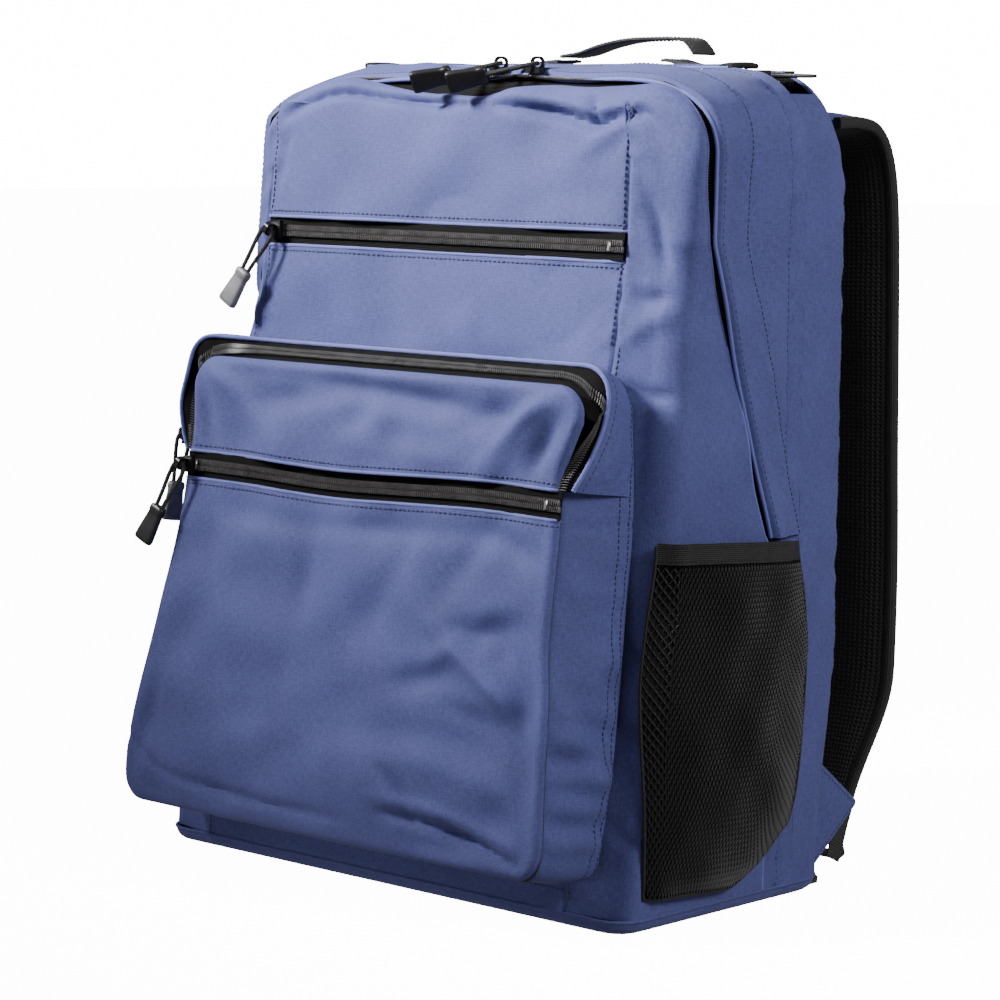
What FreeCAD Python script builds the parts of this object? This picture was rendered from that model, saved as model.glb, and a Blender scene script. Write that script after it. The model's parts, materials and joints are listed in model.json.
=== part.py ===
import FreeCAD, Part
import math
import os
import Sketcher
from FreeCAD import Placement, Rotation, Vector

# A soft backpack standing on its base. Origin: centre of the base on the floor. +Z is up, the front
# faces -Y, the back panel and shoulder straps face +Y. Fabric pieces are closed solids as thick as
# cloth, lining and foam.

DIMENSIONS = {
    # main body
    "pack_width": 370.0,
    "pack_height": 470.0,
    "front_base": 84.0,          # front face at the floor, in front of the origin
    "front_lean": 6.8,           # degrees that the front face leans back
    "back_face": 105.0,          # outside of the back panel, behind the origin
    "split_face": 54.0,          # seam between the main and rear compartments
    "cloth": 3.0,                # panel with lining and foam
    "shoulder_radius": 45.0,     # rounding of the top corners, seen from the front
    "front_rounding": 8.5,       # rounding from the front face into the gusset
    "front_drop": 6.0,           # the front section's top is this much below the main gusset's
    # main zipper line on the side gusset
    "zip_top_line": 15.0,        # in front of the origin, along the top and the upper sides
    "zip_bend": 375.0,
    "zip_end_line": 39.0,        # behind the origin, where the zipper ends low on the side
    "zip_end": 208.0,
    "tape_half": 8.0,            # width of one tape from the coil's centre line
    "tape": 1.2,
    "coil_width": 7.0,
    "coil_rise": 2.6,
    # front flap and its slash pocket
    "fold_line": 320.0,          # up the leaning front face
    "panel_half": 141.0,         # stitched seams beside the front panel
    "panel_top": 448.0,
    "upper_zip": 375.0,          # up the leaning front face
    "upper_zip_half": 139.0,
    # lower pocket
    "pocket_depth": 42.0,
    "pocket_base": 33.0,
    "pocket_top": 303.0,
    "pocket_half_base": 170.0,
    "pocket_half_top": 158.0,
    "pocket_corner": 25.0,
    "slash_zip": 231.0,
    "slash_zip_half": 152.0,
    "skirt": 5.7,                # depth of the mouth flap's turned-back edge
    # rear zipper and its cover
    "rear_zip_line": 76.0,
    "rear_zip_half": 140.0,
    # side mesh pockets
    "mesh_top": 205.0,
    "mesh_base": 16.0,
    "mesh_bulge": 11.0,
    "mesh": 1.5,
    # straps and handle
    "strap_width": 66.0,
    "strap_pad": 14.0,
    "strap_middle": 140.0,       # from the centre plane to a strap's middle
    "strap_lean": 1.5,           # degrees that the straps spread towards the floor
    "webbing": 25.0,
    "webbing_thick": 2.2,
    # pulls
    "cord": 2.6,
    "cord_loop": 30.0,
    "grip_length": 23.0,
    "grip_width": 14.0,
    "grip_thick": 5.5,
}

doc = FreeCAD.newDocument("backpack")
sheet = doc.addObject("Spreadsheet::Sheet", "dims")
for row, (alias, number) in enumerate(DIMENSIONS.items(), start=1):
    sheet.set("A%d" % row, alias)
    sheet.set("B%d" % row, str(number))
    sheet.setAlias("B%d" % row, alias)
doc.recompute()


class Size:
    """A number with the sheet expression that it comes from."""

    def __init__(self, value, text=None):
        self.value = float(value)
        self.text = text or "%.6g" % value

    def __add__(self, other):
        return combine(self, "+", other, self.value + as_size(other).value)

    def __sub__(self, other):
        return combine(self, "-", other, self.value - as_size(other).value)

    def __mul__(self, other):
        return combine(self, "*", other, self.value * as_size(other).value)

    def __truediv__(self, other):
        return combine(self, "/", other, self.value / as_size(other).value)

    def __radd__(self, other):
        return as_size(other) + self

    def __rsub__(self, other):
        return as_size(other) - self

    def __rmul__(self, other):
        return as_size(other) * self

    def __neg__(self):
        return as_size(0) - self


def as_size(number):
    return number if isinstance(number, Size) else Size(number)


def combine(left, sign, right, value):
    return Size(value, "(%s %s %s)" % (as_size(left).text, sign, as_size(right).text))


def dim(alias):
    return Size(sheet.get(alias), "dims." + alias)


def bind(thing, path, length):
    """Set a property from a size, bound to the sheet where it comes from the sheet."""
    length = as_size(length)
    if "dims." in length.text:
        thing.setExpression(path, length.text)
    else:
        setattr(thing, path, length.value)


WIDTH = dim("pack_width")
HALF = WIDTH / 2
HEIGHT = dim("pack_height")
BACK = dim("back_face")
SPLIT = dim("split_face")
CLOTH = dim("cloth")
SHOULDER = dim("shoulder_radius")
ROUNDING = dim("front_rounding")
FRONT = -dim("front_base")
FOLD = dim("fold_line")
PANEL_HALF = dim("panel_half")
PANEL_TOP = dim("panel_top")
ZIP_LINE = -dim("zip_top_line")
ZIP_BEND = dim("zip_bend")
ZIP_END_LINE = dim("zip_end_line")
ZIP_END = dim("zip_end")
TAPE = dim("tape")
TAPE_HALF = dim("tape_half")
COIL_WIDTH = dim("coil_width")
COIL_RISE = dim("coil_rise")
MESH_TOP = dim("mesh_top")
MESH_BASE = dim("mesh_base")
BULGE = dim("mesh_bulge")
MESH = dim("mesh")
WEBBING = dim("webbing")
WEBBING_THICK = dim("webbing_thick")
CORD = dim("cord")
LOOP = dim("cord_loop")

LEAN = dim("front_lean").value
LEAN_SLOPE = math.tan(math.radians(LEAN))
GAP = 0.3                                   # clearance between pieces that move apart
FAR = 600.0                                 # reaches past the pack on every side
BELOW = -10.0                               # under the floor, for outlines that are open at the bottom
LEANING = Placement(Vector(0, FRONT.value, 0), Rotation(Vector(1, 0, 0), -LEAN))


def front_at(height):
    """The front face's Y at a height, as a size."""
    return FRONT + height * LEAN_SLOPE


# ---------------------------------------------------------------- drawing helpers

def new_body(label):
    return doc.addObject("PartDesign::Body", label)


def plane_of(body, role):
    return [feature for feature in body.Origin.OriginFeatures if feature.Role == role][0]


def unit(start, end):
    return (end - start).normalize()


def draw(sketch, corners):
    """Add a closed outline. Each corner is (across, up), or (across, up, radius) where it is rounded."""
    points = [Vector(as_size(corner[0]).value, as_size(corner[1]).value, 0) for corner in corners]
    count = len(corners)
    starts, ends, arcs = [], [], {}
    for i, corner in enumerate(corners):
        if len(corner) == 2:
            starts.append(points[i])
            ends.append(points[i])
            continue
        radius = as_size(corner[2]).value
        before = unit(points[i], points[i - 1])
        after = unit(points[i], points[(i + 1) % count])
        half_turn = (math.pi - before.getAngle(after)) / 2
        reach = radius * math.tan(half_turn)
        ends.append(points[i] + before * reach)
        starts.append(points[i] + after * reach)
        middle = (before + after).normalize()
        centre = points[i] + middle * (radius / math.cos(half_turn))
        arcs[i] = (centre, centre - middle * radius)
    lines = []
    for i in range(count):
        lines.append(sketch.addGeometry(Part.LineSegment(starts[i], ends[(i + 1) % count]), False))
    for i, corner in enumerate(corners):
        pin = sketch.addGeometry(Part.Point(points[i]), True)
        for axis, place in (("DistanceX", corner[0]), ("DistanceY", corner[1])):
            constrain(sketch, place, axis, -1, 1, pin, 1)
        if i not in arcs:
            sketch.addConstraint(Sketcher.Constraint("Coincident", lines[i], 1, pin, 1))
            sketch.addConstraint(Sketcher.Constraint("Coincident", lines[i - 1], 2, pin, 1))
            continue
        bend = sketch.addGeometry(Part.Arc(ends[i], arcs[i][1], starts[i]), False)
        first, last = arc_order(sketch, bend, ends[i])
        sketch.addConstraint(Sketcher.Constraint("Tangent", lines[i - 1], 2, bend, first))
        sketch.addConstraint(Sketcher.Constraint("Tangent", lines[i], 1, bend, last))
        sketch.addConstraint(Sketcher.Constraint("PointOnObject", pin, 1, lines[i - 1]))
        sketch.addConstraint(Sketcher.Constraint("PointOnObject", pin, 1, lines[i]))
        constrain(sketch, corner[2], "Radius", bend)


def arc_order(sketch, bend, near):
    """Which ends of an arc come first and last along the outline."""
    start = sketch.getPoint(bend, 1)
    return (1, 2) if start.distanceToPoint(near) < 1e-6 else (2, 1)


def constrain(sketch, length, kind, *geometry):
    length = as_size(length)
    index = sketch.addConstraint(Sketcher.Constraint(kind, *geometry, length.value))
    if "dims." in length.text:
        sketch.setExpression("Constraints[%d]" % index, length.text)


def new_sketch(body, plane, turn=0):
    """A sketch on one of the body's own planes, turned about its across axis by some degrees."""
    sketch = body.newObject("Sketcher::SketchObject", body.Label + "_sketch")
    sketch.AttachmentSupport = (plane_of(body, plane), [""])
    sketch.MapMode = "FlatFace"
    sketch.AttachmentOffset = Placement(Vector(), Rotation(Vector(1, 0, 0), turn))
    return sketch


def feature(body, kind, plane, outlines, length=None, reverse=False, middle=False, turn=0):
    """A pad or pocket of closed outlines on one of the body's own planes. No length cuts through all."""
    sketch = new_sketch(body, plane, turn)
    for corners in outlines:
        draw(sketch, corners)
    shape = body.newObject("PartDesign::" + kind, body.Label + "_" + kind.lower())
    shape.Profile = sketch
    if length is None:
        shape.Length = 2 * FAR
        shape.SideType = "Symmetric"
    else:
        bind(shape, "Length", length)
        shape.SideType = "Symmetric" if middle else "One side"
    shape.Reversed = reverse
    sketch.Visibility = False
    return shape


def pad(body, plane, outlines, length, reverse=False, middle=False, turn=0):
    return feature(body, "Pad", plane, outlines, length, reverse, middle, turn)


def pocket(body, plane, outlines, length=None, reverse=False, middle=False):
    """Cut a pocket, and make sure that it removed something."""
    doc.recompute()
    before = body.Shape.Volume
    shape = feature(body, "Pocket", plane, outlines, length, reverse, middle)
    doc.recompute()
    if not body.Shape.Volume < before:
        raise RuntimeError("a pocket of %s cuts nothing" % body.Label)
    return shape


def names_of(kind, items, chosen):
    return ["%s%d" % (kind, i + 1) for i, item in enumerate(items) if chosen(item)]


def fillet(body, chosen, radius):
    """Round the body's edges that a test on the edge chooses."""
    doc.recompute()
    base = body.Tip
    rounded = body.newObject("PartDesign::Fillet", body.Label + "_fillet")
    rounded.Base = (base, names_of("Edge", base.Shape.Edges, chosen))
    bind(rounded, "Radius", radius)
    return rounded


def hollow(body, open_faces, skin):
    """Leave a skin, open at the chosen faces."""
    doc.recompute()
    base = body.Tip
    shell = body.newObject("PartDesign::Thickness", body.Label + "_skin")
    shell.Base = (base, names_of("Face", base.Shape.Faces, open_faces))
    bind(shell, "Value", skin)
    shell.Reversed = True
    shell.Join = "Intersection"
    return shell


def rectangle(left, bottom, right, top, radius=None):
    corners = [(left, bottom), (right, bottom), (right, top), (left, top)]
    if radius is not None:
        corners = [corner + (radius,) for corner in corners]
    return corners


def arch(half, bottom, top, radius):
    """An outline with a flat bottom and rounded top corners."""
    return [(-half, bottom), (half, bottom), (half, top, radius), (-half, top, radius)]


def normal_of(face):
    return face.normalAt(*face.Surface.parameter(face.CenterOfMass))


def along(edge, direction):
    """True for a straight edge along a direction."""
    if not isinstance(edge.Curve, Part.Line):
        return False
    return abs(abs(edge.Curve.Direction.dot(direction)) - 1) < 1e-3


SIDEWAYS = Vector(1, 0, 0)
DEPTHWISE = Vector(0, 1, 0)
UPRIGHT = Vector(0, 0, 1)
parts = []


def keep(thing, placement=None):
    """Count an object as a sub-part of the pack."""
    if placement is not None:
        thing.Placement = placement
    parts.append(thing)
    return thing


def plate(label, plane, outlines, thick, placement=None, reverse=False, middle=False):
    """A flat sub-part: one outline, with any holes, padded to its thickness."""
    body = new_body(label)
    pad(body, plane, outlines, thick, reverse, middle)
    return keep(body, placement)


def at(x, y, z):
    return Placement(Vector(*(as_size(value).value for value in (x, y, z))), Rotation())


# ---------------------------------------------------------------- the pack's main shell

FRONT_TOP = HEIGHT - dim("front_drop")
FRONT_EDGE = 4.5                             # fabric edge in front of the main zipper's centre line
REAR_EDGE = 7.5                              # fabric edge behind it
CUT_RISE = 26.0                              # from the flap's rear corner up to the zipper's bend
FOLD_UP = FOLD * math.cos(math.radians(LEAN))
CUT_UP = ZIP_BEND - CUT_RISE
ZIP_RAKE = (ZIP_END_LINE - ZIP_LINE) / (ZIP_BEND - ZIP_END)
CUT_LINE = ZIP_LINE + ZIP_RAKE * CUT_RISE     # the zipper's line at the flap's rear corner
AROUND = rectangle(-FAR, -FAR, FAR, FAR)


def round_top(body, top, inset=0):
    """Round the shoulders of a piece that was padded square."""
    pocket(body, "XZ_Plane", [AROUND, arch(HALF - inset, BELOW, top, SHOULDER - inset)])


def open_rear(face):
    """The open faces of the front section: all but its front, top and two sides."""
    if not isinstance(face.Surface, Part.Plane):
        return False
    normal = normal_of(face)
    return abs(normal.x) < 0.5 and normal.z < 0.9 and normal.y > -0.9


def on_front(edge):
    """True for an edge that goes up or over in the leaning front face, not along its bottom."""
    for parameter in (edge.FirstParameter, edge.LastParameter):
        point = edge.valueAt(parameter)
        if abs(point.y - front_at(as_size(point.z)).value) > 0.01:
            return False
    low = abs(edge.BoundBox.ZMax - edge.BoundBox.ZMin) < 0.01 and edge.CenterOfMass.z < ZIP_BEND.value
    return not low


def gusset(label, side):
    """A strip of cloth up one side, over the top and down the other, from its side outline."""
    body = new_body(label)
    pad(body, "YZ_Plane", [side], WIDTH, middle=True)
    round_top(body, HEIGHT)
    pocket(body, "XZ_Plane", [arch(HALF - CLOTH, BELOW, HEIGHT - CLOTH, SHOULDER - CLOTH)])
    return keep(body)


def front_form(label, side, top=None):
    """The skin of a stretch of the front section, front face and gusset in one."""
    body = new_body(label)
    pad(body, "YZ_Plane", [side], WIDTH, middle=True)
    if top is not None:
        round_top(body, top)
    fillet(body, on_front, ROUNDING)
    hollow(body, open_rear, CLOTH)
    return keep(body)


MAIN_SIDE = [
    (ZIP_END_LINE - FRONT_EDGE, CLOTH),
    (SPLIT, CLOTH),
    (SPLIT, HEIGHT),
    (ZIP_LINE + REAR_EDGE, HEIGHT),
    (ZIP_LINE + REAR_EDGE, ZIP_BEND),
    (ZIP_END_LINE + REAR_EDGE, ZIP_END),
    (ZIP_END_LINE - FRONT_EDGE, ZIP_END - FRONT_EDGE),
]
LOWER_SIDE = [
    (front_at(CLOTH), CLOTH),
    (ZIP_END_LINE - FRONT_EDGE, CLOTH),
    (ZIP_END_LINE - FRONT_EDGE, ZIP_END),
    (CUT_LINE - FRONT_EDGE, CUT_UP),
    (front_at(FOLD_UP), FOLD_UP),
]
UPPER_SIDE = [
    (front_at(FOLD_UP + GAP), FOLD_UP + GAP),
    (CUT_LINE - FRONT_EDGE, CUT_UP + GAP),
    (ZIP_LINE - FRONT_EDGE, ZIP_BEND),
    (ZIP_LINE - FRONT_EDGE, FRONT_TOP),
    (front_at(FRONT_TOP), FRONT_TOP),
]

gusset("main_gusset", MAIN_SIDE)

rear_gusset = gusset("rear_gusset", rectangle(SPLIT, CLOTH, BACK - CLOTH, HEIGHT))
REAR_ZIP = dim("rear_zip_line")
CHANNEL_HALF = 10.0
SLOT_HALF = 172.0                            # the rear zipper's opening, down over the shoulders
pocket(rear_gusset, "XY_Plane", [rectangle(-SLOT_HALF, REAR_ZIP - 9, SLOT_HALF, REAR_ZIP + 9)])

beside = [rectangle(-FAR, -FAR, -PANEL_HALF, FAR), rectangle(PANEL_HALF, -FAR, FAR, FAR)]
lower_panel = front_form("lower_front_panel", LOWER_SIDE)
pocket(lower_panel, "XZ_Plane", beside)
for side_name, rest in (("left", rectangle(-PANEL_HALF, -FAR, FAR, FAR)),
                        ("right", rectangle(-FAR, -FAR, PANEL_HALF, FAR))):
    pocket(front_form("lower_gusset_" + side_name, LOWER_SIDE), "XZ_Plane", [rest])

upper_panel = front_form("upper_front_panel", UPPER_SIDE, FRONT_TOP)
pocket(upper_panel, "XZ_Plane", beside)
pocket(upper_panel, "XZ_Plane", [rectangle(-FAR, PANEL_TOP, FAR, FAR)])
UPPER_ZIP = dim("upper_zip") * math.cos(math.radians(LEAN))
UPPER_HALF = dim("upper_zip_half")
pocket(upper_panel, "XZ_Plane",
       [rectangle(-UPPER_HALF, UPPER_ZIP - TAPE_HALF - 0.5, UPPER_HALF, UPPER_ZIP + TAPE_HALF + 0.5)])
pocket(front_form("upper_front_gusset", UPPER_SIDE, FRONT_TOP), "XZ_Plane",
       [rectangle(-PANEL_HALF, -FAR, PANEL_HALF, PANEL_TOP)])

base = plate("base_panel", "XY_Plane", [rectangle(-HALF, FRONT, HALF, BACK - CLOTH)], CLOTH)
fillet(base, lambda edge: along(edge, UPRIGHT) and edge.CenterOfMass.y < 0, ROUNDING)
BOARD = 3.0
plate("base_board", "XY_Plane", [rectangle(4 - HALF, FRONT + 5, HALF - 4, BACK - CLOTH - 1, ROUNDING)],
      BOARD, at(0, 0, CLOTH))

INSIDE = CLOTH + GAP
DIVIDER = 2.0
SHEET = 1.5
plate("divider_panel", "XZ_Plane",
      [arch(HALF - INSIDE, CLOTH + BOARD + GAP, HEIGHT - INSIDE, SHOULDER - INSIDE)],
      DIVIDER, at(0, SPLIT, 0))
plate("back_panel", "XZ_Plane", [arch(HALF, 0, HEIGHT, SHOULDER)], CLOTH, at(0, BACK, 0))
plate("frame_sheet", "XZ_Plane", [arch(150, 20, HEIGHT - 15, 60)], SHEET, at(0, BACK - CLOTH - 0.1, 0))

# ---------------------------------------------------------------- back pads, yoke and handle

PAD = 12.0
for side_name, centre in (("left", -60), ("right", 60)):
    plate("back_pad_" + side_name, "XZ_Plane", [rectangle(centre - 38, 120, centre + 38, 420, 14)],
          PAD, at(0, BACK, 0), reverse=True)
plate("lumbar_pad", "XZ_Plane", [rectangle(-98, 26, 98, 108, 14)], PAD, at(0, BACK, 0), reverse=True)
YOKE = 4.0
plate("strap_yoke", "XZ_Plane", [rectangle(-158, 425, 158, 460, 8)], YOKE, at(0, BACK, 0), reverse=True)

HANDLE_WIDTH = WEBBING - 3
HANDLE_BACK = BACK + 5
TOP = HEIGHT


def webbing_band(label, outline, width, rear):
    """Webbing seen edge on from the front, as wide as it is deep."""
    return plate(label, "XZ_Plane", [outline], width, at(0, rear, 0))


webbing_band("handle_end_left", [
    (-70, TOP), (-42, TOP), (-23, TOP + 3.5), (-25, TOP + 5.7), (-43, TOP + WEBBING_THICK),
    (-70, TOP + WEBBING_THICK)], HANDLE_WIDTH, HANDLE_BACK)
webbing_band("handle_end_right", [
    (58, TOP), (90, TOP), (90, TOP + WEBBING_THICK), (87, TOP + 6.2), (84.5, TOP + 6.2),
    (85, TOP + WEBBING_THICK), (58, TOP + WEBBING_THICK)], HANDLE_WIDTH, HANDLE_BACK)
webbing_band("carry_handle", [
    (-21, TOP + 6.6), (3, TOP + 12, 60), (40, TOP + 17, 60), (71, TOP + 17, 9), (81.4, TOP + 7),
    (83.8, TOP + 7), (73, TOP + 19.2, 11), (40, TOP + 19.2, 60), (2, TOP + 14.2, 60), (-22.5, TOP + 8.7)],
    HANDLE_WIDTH, HANDLE_BACK)

# ---------------------------------------------------------------- shoulder straps

STRAP = dim("strap_pad")
STRAP_FRONT = BACK + YOKE + 0.4
STRAP_TOP = 447.0
STRAP_OUT = 172.0                            # how far behind the origin the straps hang
LOCK_AT = Vector(0, 139, 19)                  # middle of a strap's buckle
LOCK_THICK = 4.5
LOCK_OUT = 1.07                              # how much further apart the buckles are than the straps' tops


def strap_side():
    """A strap's outline from the side: out of the yoke, round, and down towards the floor."""
    return [
        (STRAP_FRONT, STRAP_TOP), (STRAP_FRONT, STRAP_TOP - STRAP),
        (STRAP_OUT - 5 - STRAP, STRAP_TOP - STRAP, 32), (STRAP_OUT - STRAP, 200, 300),
        (STRAP_OUT - 6 - STRAP, 90, 200), (135, 34), (147, 30), (STRAP_OUT - 6, 90, 200),
        (STRAP_OUT, 200, 300), (STRAP_OUT - 5, STRAP_TOP, 46),
    ]


for side_name, sign in (("left", -1), ("right", 1)):
    middle = dim("strap_middle").value * sign
    tilt = Rotation(Vector(0, 1, 0), -dim("strap_lean").value * sign)
    pivot = Vector(0, STRAP_FRONT.value, STRAP_TOP)
    hung = Placement(Vector(middle, 0, 0), Rotation()) * Placement(Vector(), tilt, pivot)
    plate("shoulder_strap_" + side_name, "YZ_Plane", [strap_side()], dim("strap_width"), hung, middle=True)
    slots = [rectangle(-12.5, 3.5, 12.5, 7.5), rectangle(-12.5, -7.5, 12.5, -2)]
    lock = plate("ladder_lock_" + side_name, "XZ_Plane", [rectangle(-16, -11, 16, 11, 3)] + slots, LOCK_THICK)
    lock.Placement = Placement(LOCK_AT + Vector(LOCK_OUT * middle, 0, 0), Rotation(Vector(1, 0, 0), 18))
    wing_face = 176.0 if sign > 0 else -180.0
    plate("strap_wing_" + side_name, "YZ_Plane", [[(BACK + GAP, 14), (134, 45), (BACK + GAP, 74)]],
          4.0, at(wing_face, 0, 0))
    web_face = 173.4 if sign > 0 else -175.6
    loop_end = [(112, 40), (118, 12), (127, 7), (134, 26), (126, 52)]
    plate("lower_webbing_" + side_name, "YZ_Plane", [loop_end], WEBBING_THICK, at(web_face, 0, 0))

# ---------------------------------------------------------------- side mesh pockets

MESH_OUT = HALF + GAP
BINDING = 12.0
MESH_FRONT = -57.0
MESH_REAR = 76.0


def mesh_outline(top):
    return [(-67, MESH_BASE, 18), (40, MESH_BASE, 24), (MESH_REAR, 76, 24), (MESH_REAR, top),
            (MESH_FRONT, top)]


for side_name, sign in (("left", -1), ("right", 1)):
    mesh = new_body("mesh_pocket_" + side_name)
    pad(mesh, "YZ_Plane", [mesh_outline(MESH_TOP - BINDING)], BULGE, reverse=sign < 0)
    hollow(mesh, lambda face: normal_of(face).z > 0.9 or normal_of(face).x * sign < -0.9, MESH)
    keep(mesh, at(MESH_OUT.value * sign, 0, 0))
    inner = BULGE - 2 * MESH
    edge = [(0, MESH_FRONT), (BULGE, MESH_FRONT), (BULGE, MESH_REAR), (0, MESH_REAR),
            (0, MESH_REAR - 2 * MESH), (inner, MESH_REAR - 2 * MESH), (inner, MESH_FRONT + 2 * MESH),
            (0, MESH_FRONT + 2 * MESH)]
    if sign < 0:
        edge = [(-as_size(across), up) for across, up in reversed(edge)]
    plate("mesh_binding_" + side_name, "XY_Plane", [edge], BINDING,
          at(MESH_OUT.value * sign, 0, MESH_TOP - BINDING))

# ---------------------------------------------------------------- zipper chains

COIL_HALF = COIL_WIDTH / 2
SUNK = 1.4                                   # the tape's face lies this far under the cloth's


def straight_chain(label, half_length, placement):
    """Tape and coil of a straight zipper along X. Local -Y faces out, the tape's face is at SUNK."""
    peak = SUNK - COIL_RISE
    profile = [
        (SUNK + TAPE, -TAPE_HALF), (SUNK + TAPE, TAPE_HALF), (SUNK, TAPE_HALF), (SUNK, COIL_HALF),
        (peak, COIL_HALF), (peak, -COIL_HALF), (SUNK, -COIL_HALF), (SUNK, -TAPE_HALF),
    ]
    return plate(label, "YZ_Plane", [profile], half_length * 2, placement, middle=True)


def leaning_at(x, out, up):
    """A placement in the front face's own leaning frame. Out is in front of the face."""
    return LEANING * at(x, -as_size(out), up)


POCKET_DEPTH = dim("pocket_depth")
SLASH = dim("slash_zip")
straight_chain("upper_zip_chain", UPPER_HALF - GAP, leaning_at(0, 0, dim("upper_zip")))
straight_chain("slash_zip_chain", dim("slash_zip_half"), leaning_at(0, POCKET_DEPTH, SLASH))

LINING = 1.2
LINING_DEPTH = 15.0


def lining_outline(inset):
    """The slash pocket's bag, seen from the front, this far inside its edge."""
    half, low, high = PANEL_HALF - 12 - inset, FOLD + 8 + inset, dim("upper_zip") + 16 - inset
    return rectangle(-half, low, half, high)


lining = plate("upper_pocket_lining", "XZ_Plane", [lining_outline(0)], LINING_DEPTH,
               leaning_at(0, -CLOTH - GAP, 0), reverse=True)
pocket(lining, "XZ_Plane", [lining_outline(LINING)], LINING_DEPTH - LINING)


def sketch_prism(name, plane, outlines, length):
    """A prism, middle on the plane, from closed outlines on a plane through the origin."""
    sketch = doc.addObject("Sketcher::SketchObject", name + "_sketch")
    turns = {"XZ": Rotation(Vector(1, 0, 0), 90), "YZ": Rotation(Vector(1, 1, 1), 120)}
    sketch.Placement = Placement(Vector(), turns[plane])
    for corners in outlines:
        draw(sketch, corners)
    prism = doc.addObject("Part::Extrusion", name)
    prism.Base = sketch
    prism.DirMode = "Normal"
    prism.Symmetric = True
    prism.Solid = True
    bind(prism, "LengthFwd", length)
    return prism


def hoop(name, outer, inner, band):
    """The stretch of a thin hoop, this far inside the gusset's outline, that a side band covers."""
    ring = sketch_prism(name + "_ring", "XZ", [
        arch(HALF - outer, 2 * BELOW, HEIGHT - outer, SHOULDER - outer),
        arch(HALF - inner, BELOW, HEIGHT - inner, SHOULDER - inner)], FAR)
    strip = sketch_prism(name + "_band", "YZ", [band], WIDTH)
    piece = doc.addObject("Part::Common", name)
    piece.Base = ring
    piece.Tool = strip
    return piece


def zip_line_at(height):
    """The main zipper's line below its bend."""
    return ZIP_LINE + ZIP_RAKE * (ZIP_BEND - height)


def zip_band(front, rear, low):
    """A band along the main zipper, between two distances from its line, from a height up and over."""
    return [
        (zip_line_at(low) + front, low), (zip_line_at(low) + rear, low), (ZIP_LINE + rear, ZIP_BEND),
        (ZIP_LINE + rear, FAR), (ZIP_LINE + front, FAR), (ZIP_LINE + front, ZIP_BEND),
    ]


def low_band(front, rear, low, high):
    """The same along the raked stretch between two heights."""
    return [(zip_line_at(low) + front, low), (zip_line_at(low) + rear, low),
            (zip_line_at(high) + rear, high), (zip_line_at(high) + front, high)]


def hoop_chain(label, pieces):
    """Half a zipper chain: its tape and coil as one piece."""
    chain = doc.addObject("Part::MultiFuse", label)
    chain.Shapes = pieces
    chain.Refine = True
    return keep(chain)


TAPE_IN = 7.0                                # main zipper's tape under the gusset's outline
MESHED = 0.15                                # half the gap where the two coils meet
COIL_IN = TAPE_IN - COIL_RISE
FLAP_LOW = CUT_UP + 3                        # lower end of the flap's own half of the zipper
ROOT_HIGH = CUT_UP - 1                       # below it both halves stay with the pack
hoop_chain("main_zip_chain", [
    hoop("rear_tape", TAPE_IN, TAPE_IN + TAPE, zip_band(MESHED, TAPE_HALF, ZIP_END)),
    hoop("rear_coil", COIL_IN, TAPE_IN, zip_band(MESHED, COIL_HALF, ZIP_END)),
    hoop("low_tape", TAPE_IN, TAPE_IN + TAPE, low_band(-TAPE_HALF, TAPE_HALF, ZIP_END, ROOT_HIGH)),
    hoop("low_coil", COIL_IN, TAPE_IN, low_band(-COIL_HALF, COIL_HALF, ZIP_END, ROOT_HIGH))])
hoop_chain("flap_zip_chain", [
    hoop("front_tape", TAPE_IN, TAPE_IN + TAPE, zip_band(-FRONT_EDGE, -MESHED, FLAP_LOW)),
    hoop("front_coil", COIL_IN, TAPE_IN, zip_band(-COIL_HALF, -MESHED, FLAP_LOW))])

FLAP_COVER = 1.5
keep(hoop("storm_flap", -FLAP_COVER, 0, zip_band(REAR_EDGE, REAR_EDGE + 18, ZIP_END)))

CHANNEL_DEPTH = 8.0
CHANNEL_WALL = 1.2
CHANNEL_IN = CHANNEL_HALF - CHANNEL_WALL
channel = [
    (-CHANNEL_HALF, 0), (CHANNEL_HALF, 0), (CHANNEL_HALF, CHANNEL_DEPTH), (CHANNEL_IN, CHANNEL_DEPTH),
    (CHANNEL_IN, CHANNEL_WALL), (COIL_HALF, CHANNEL_WALL), (COIL_HALF, CHANNEL_WALL + COIL_RISE),
    (-COIL_HALF, CHANNEL_WALL + COIL_RISE), (-COIL_HALF, CHANNEL_WALL), (-CHANNEL_IN, CHANNEL_WALL),
    (-CHANNEL_IN, CHANNEL_DEPTH), (-CHANNEL_HALF, CHANNEL_DEPTH),
]
CHANNEL_BASE = HEIGHT - CLOTH - CHANNEL_DEPTH
REAR_ZIP_HALF = dim("rear_zip_half")
plate("rear_zip_chain", "YZ_Plane", [channel], REAR_ZIP_HALF * 2, at(0, REAR_ZIP, CHANNEL_BASE), middle=True)
plate("rear_zip_flap", "XY_Plane", [rectangle(-158, REAR_ZIP - 14, 130, REAR_ZIP + 11)], 1.6,
      at(0, 0, HEIGHT + GAP))

# ---------------------------------------------------------------- lower pocket

POCKET_BASE = dim("pocket_base")
POCKET_TOP = dim("pocket_top")
HALF_BASE = dim("pocket_half_base")
HALF_TOP = dim("pocket_half_top")
CORNER = dim("pocket_corner")
MOUTH = SLASH + TAPE_HALF                    # lower edge of the mouth flap
SKIRT = dim("skirt")
RING_DEPTH = POCKET_DEPTH - CLOTH


def pocket_half(up):
    return HALF_BASE + (HALF_TOP - HALF_BASE) * ((up - POCKET_BASE) / (POCKET_TOP - POCKET_BASE))


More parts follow.
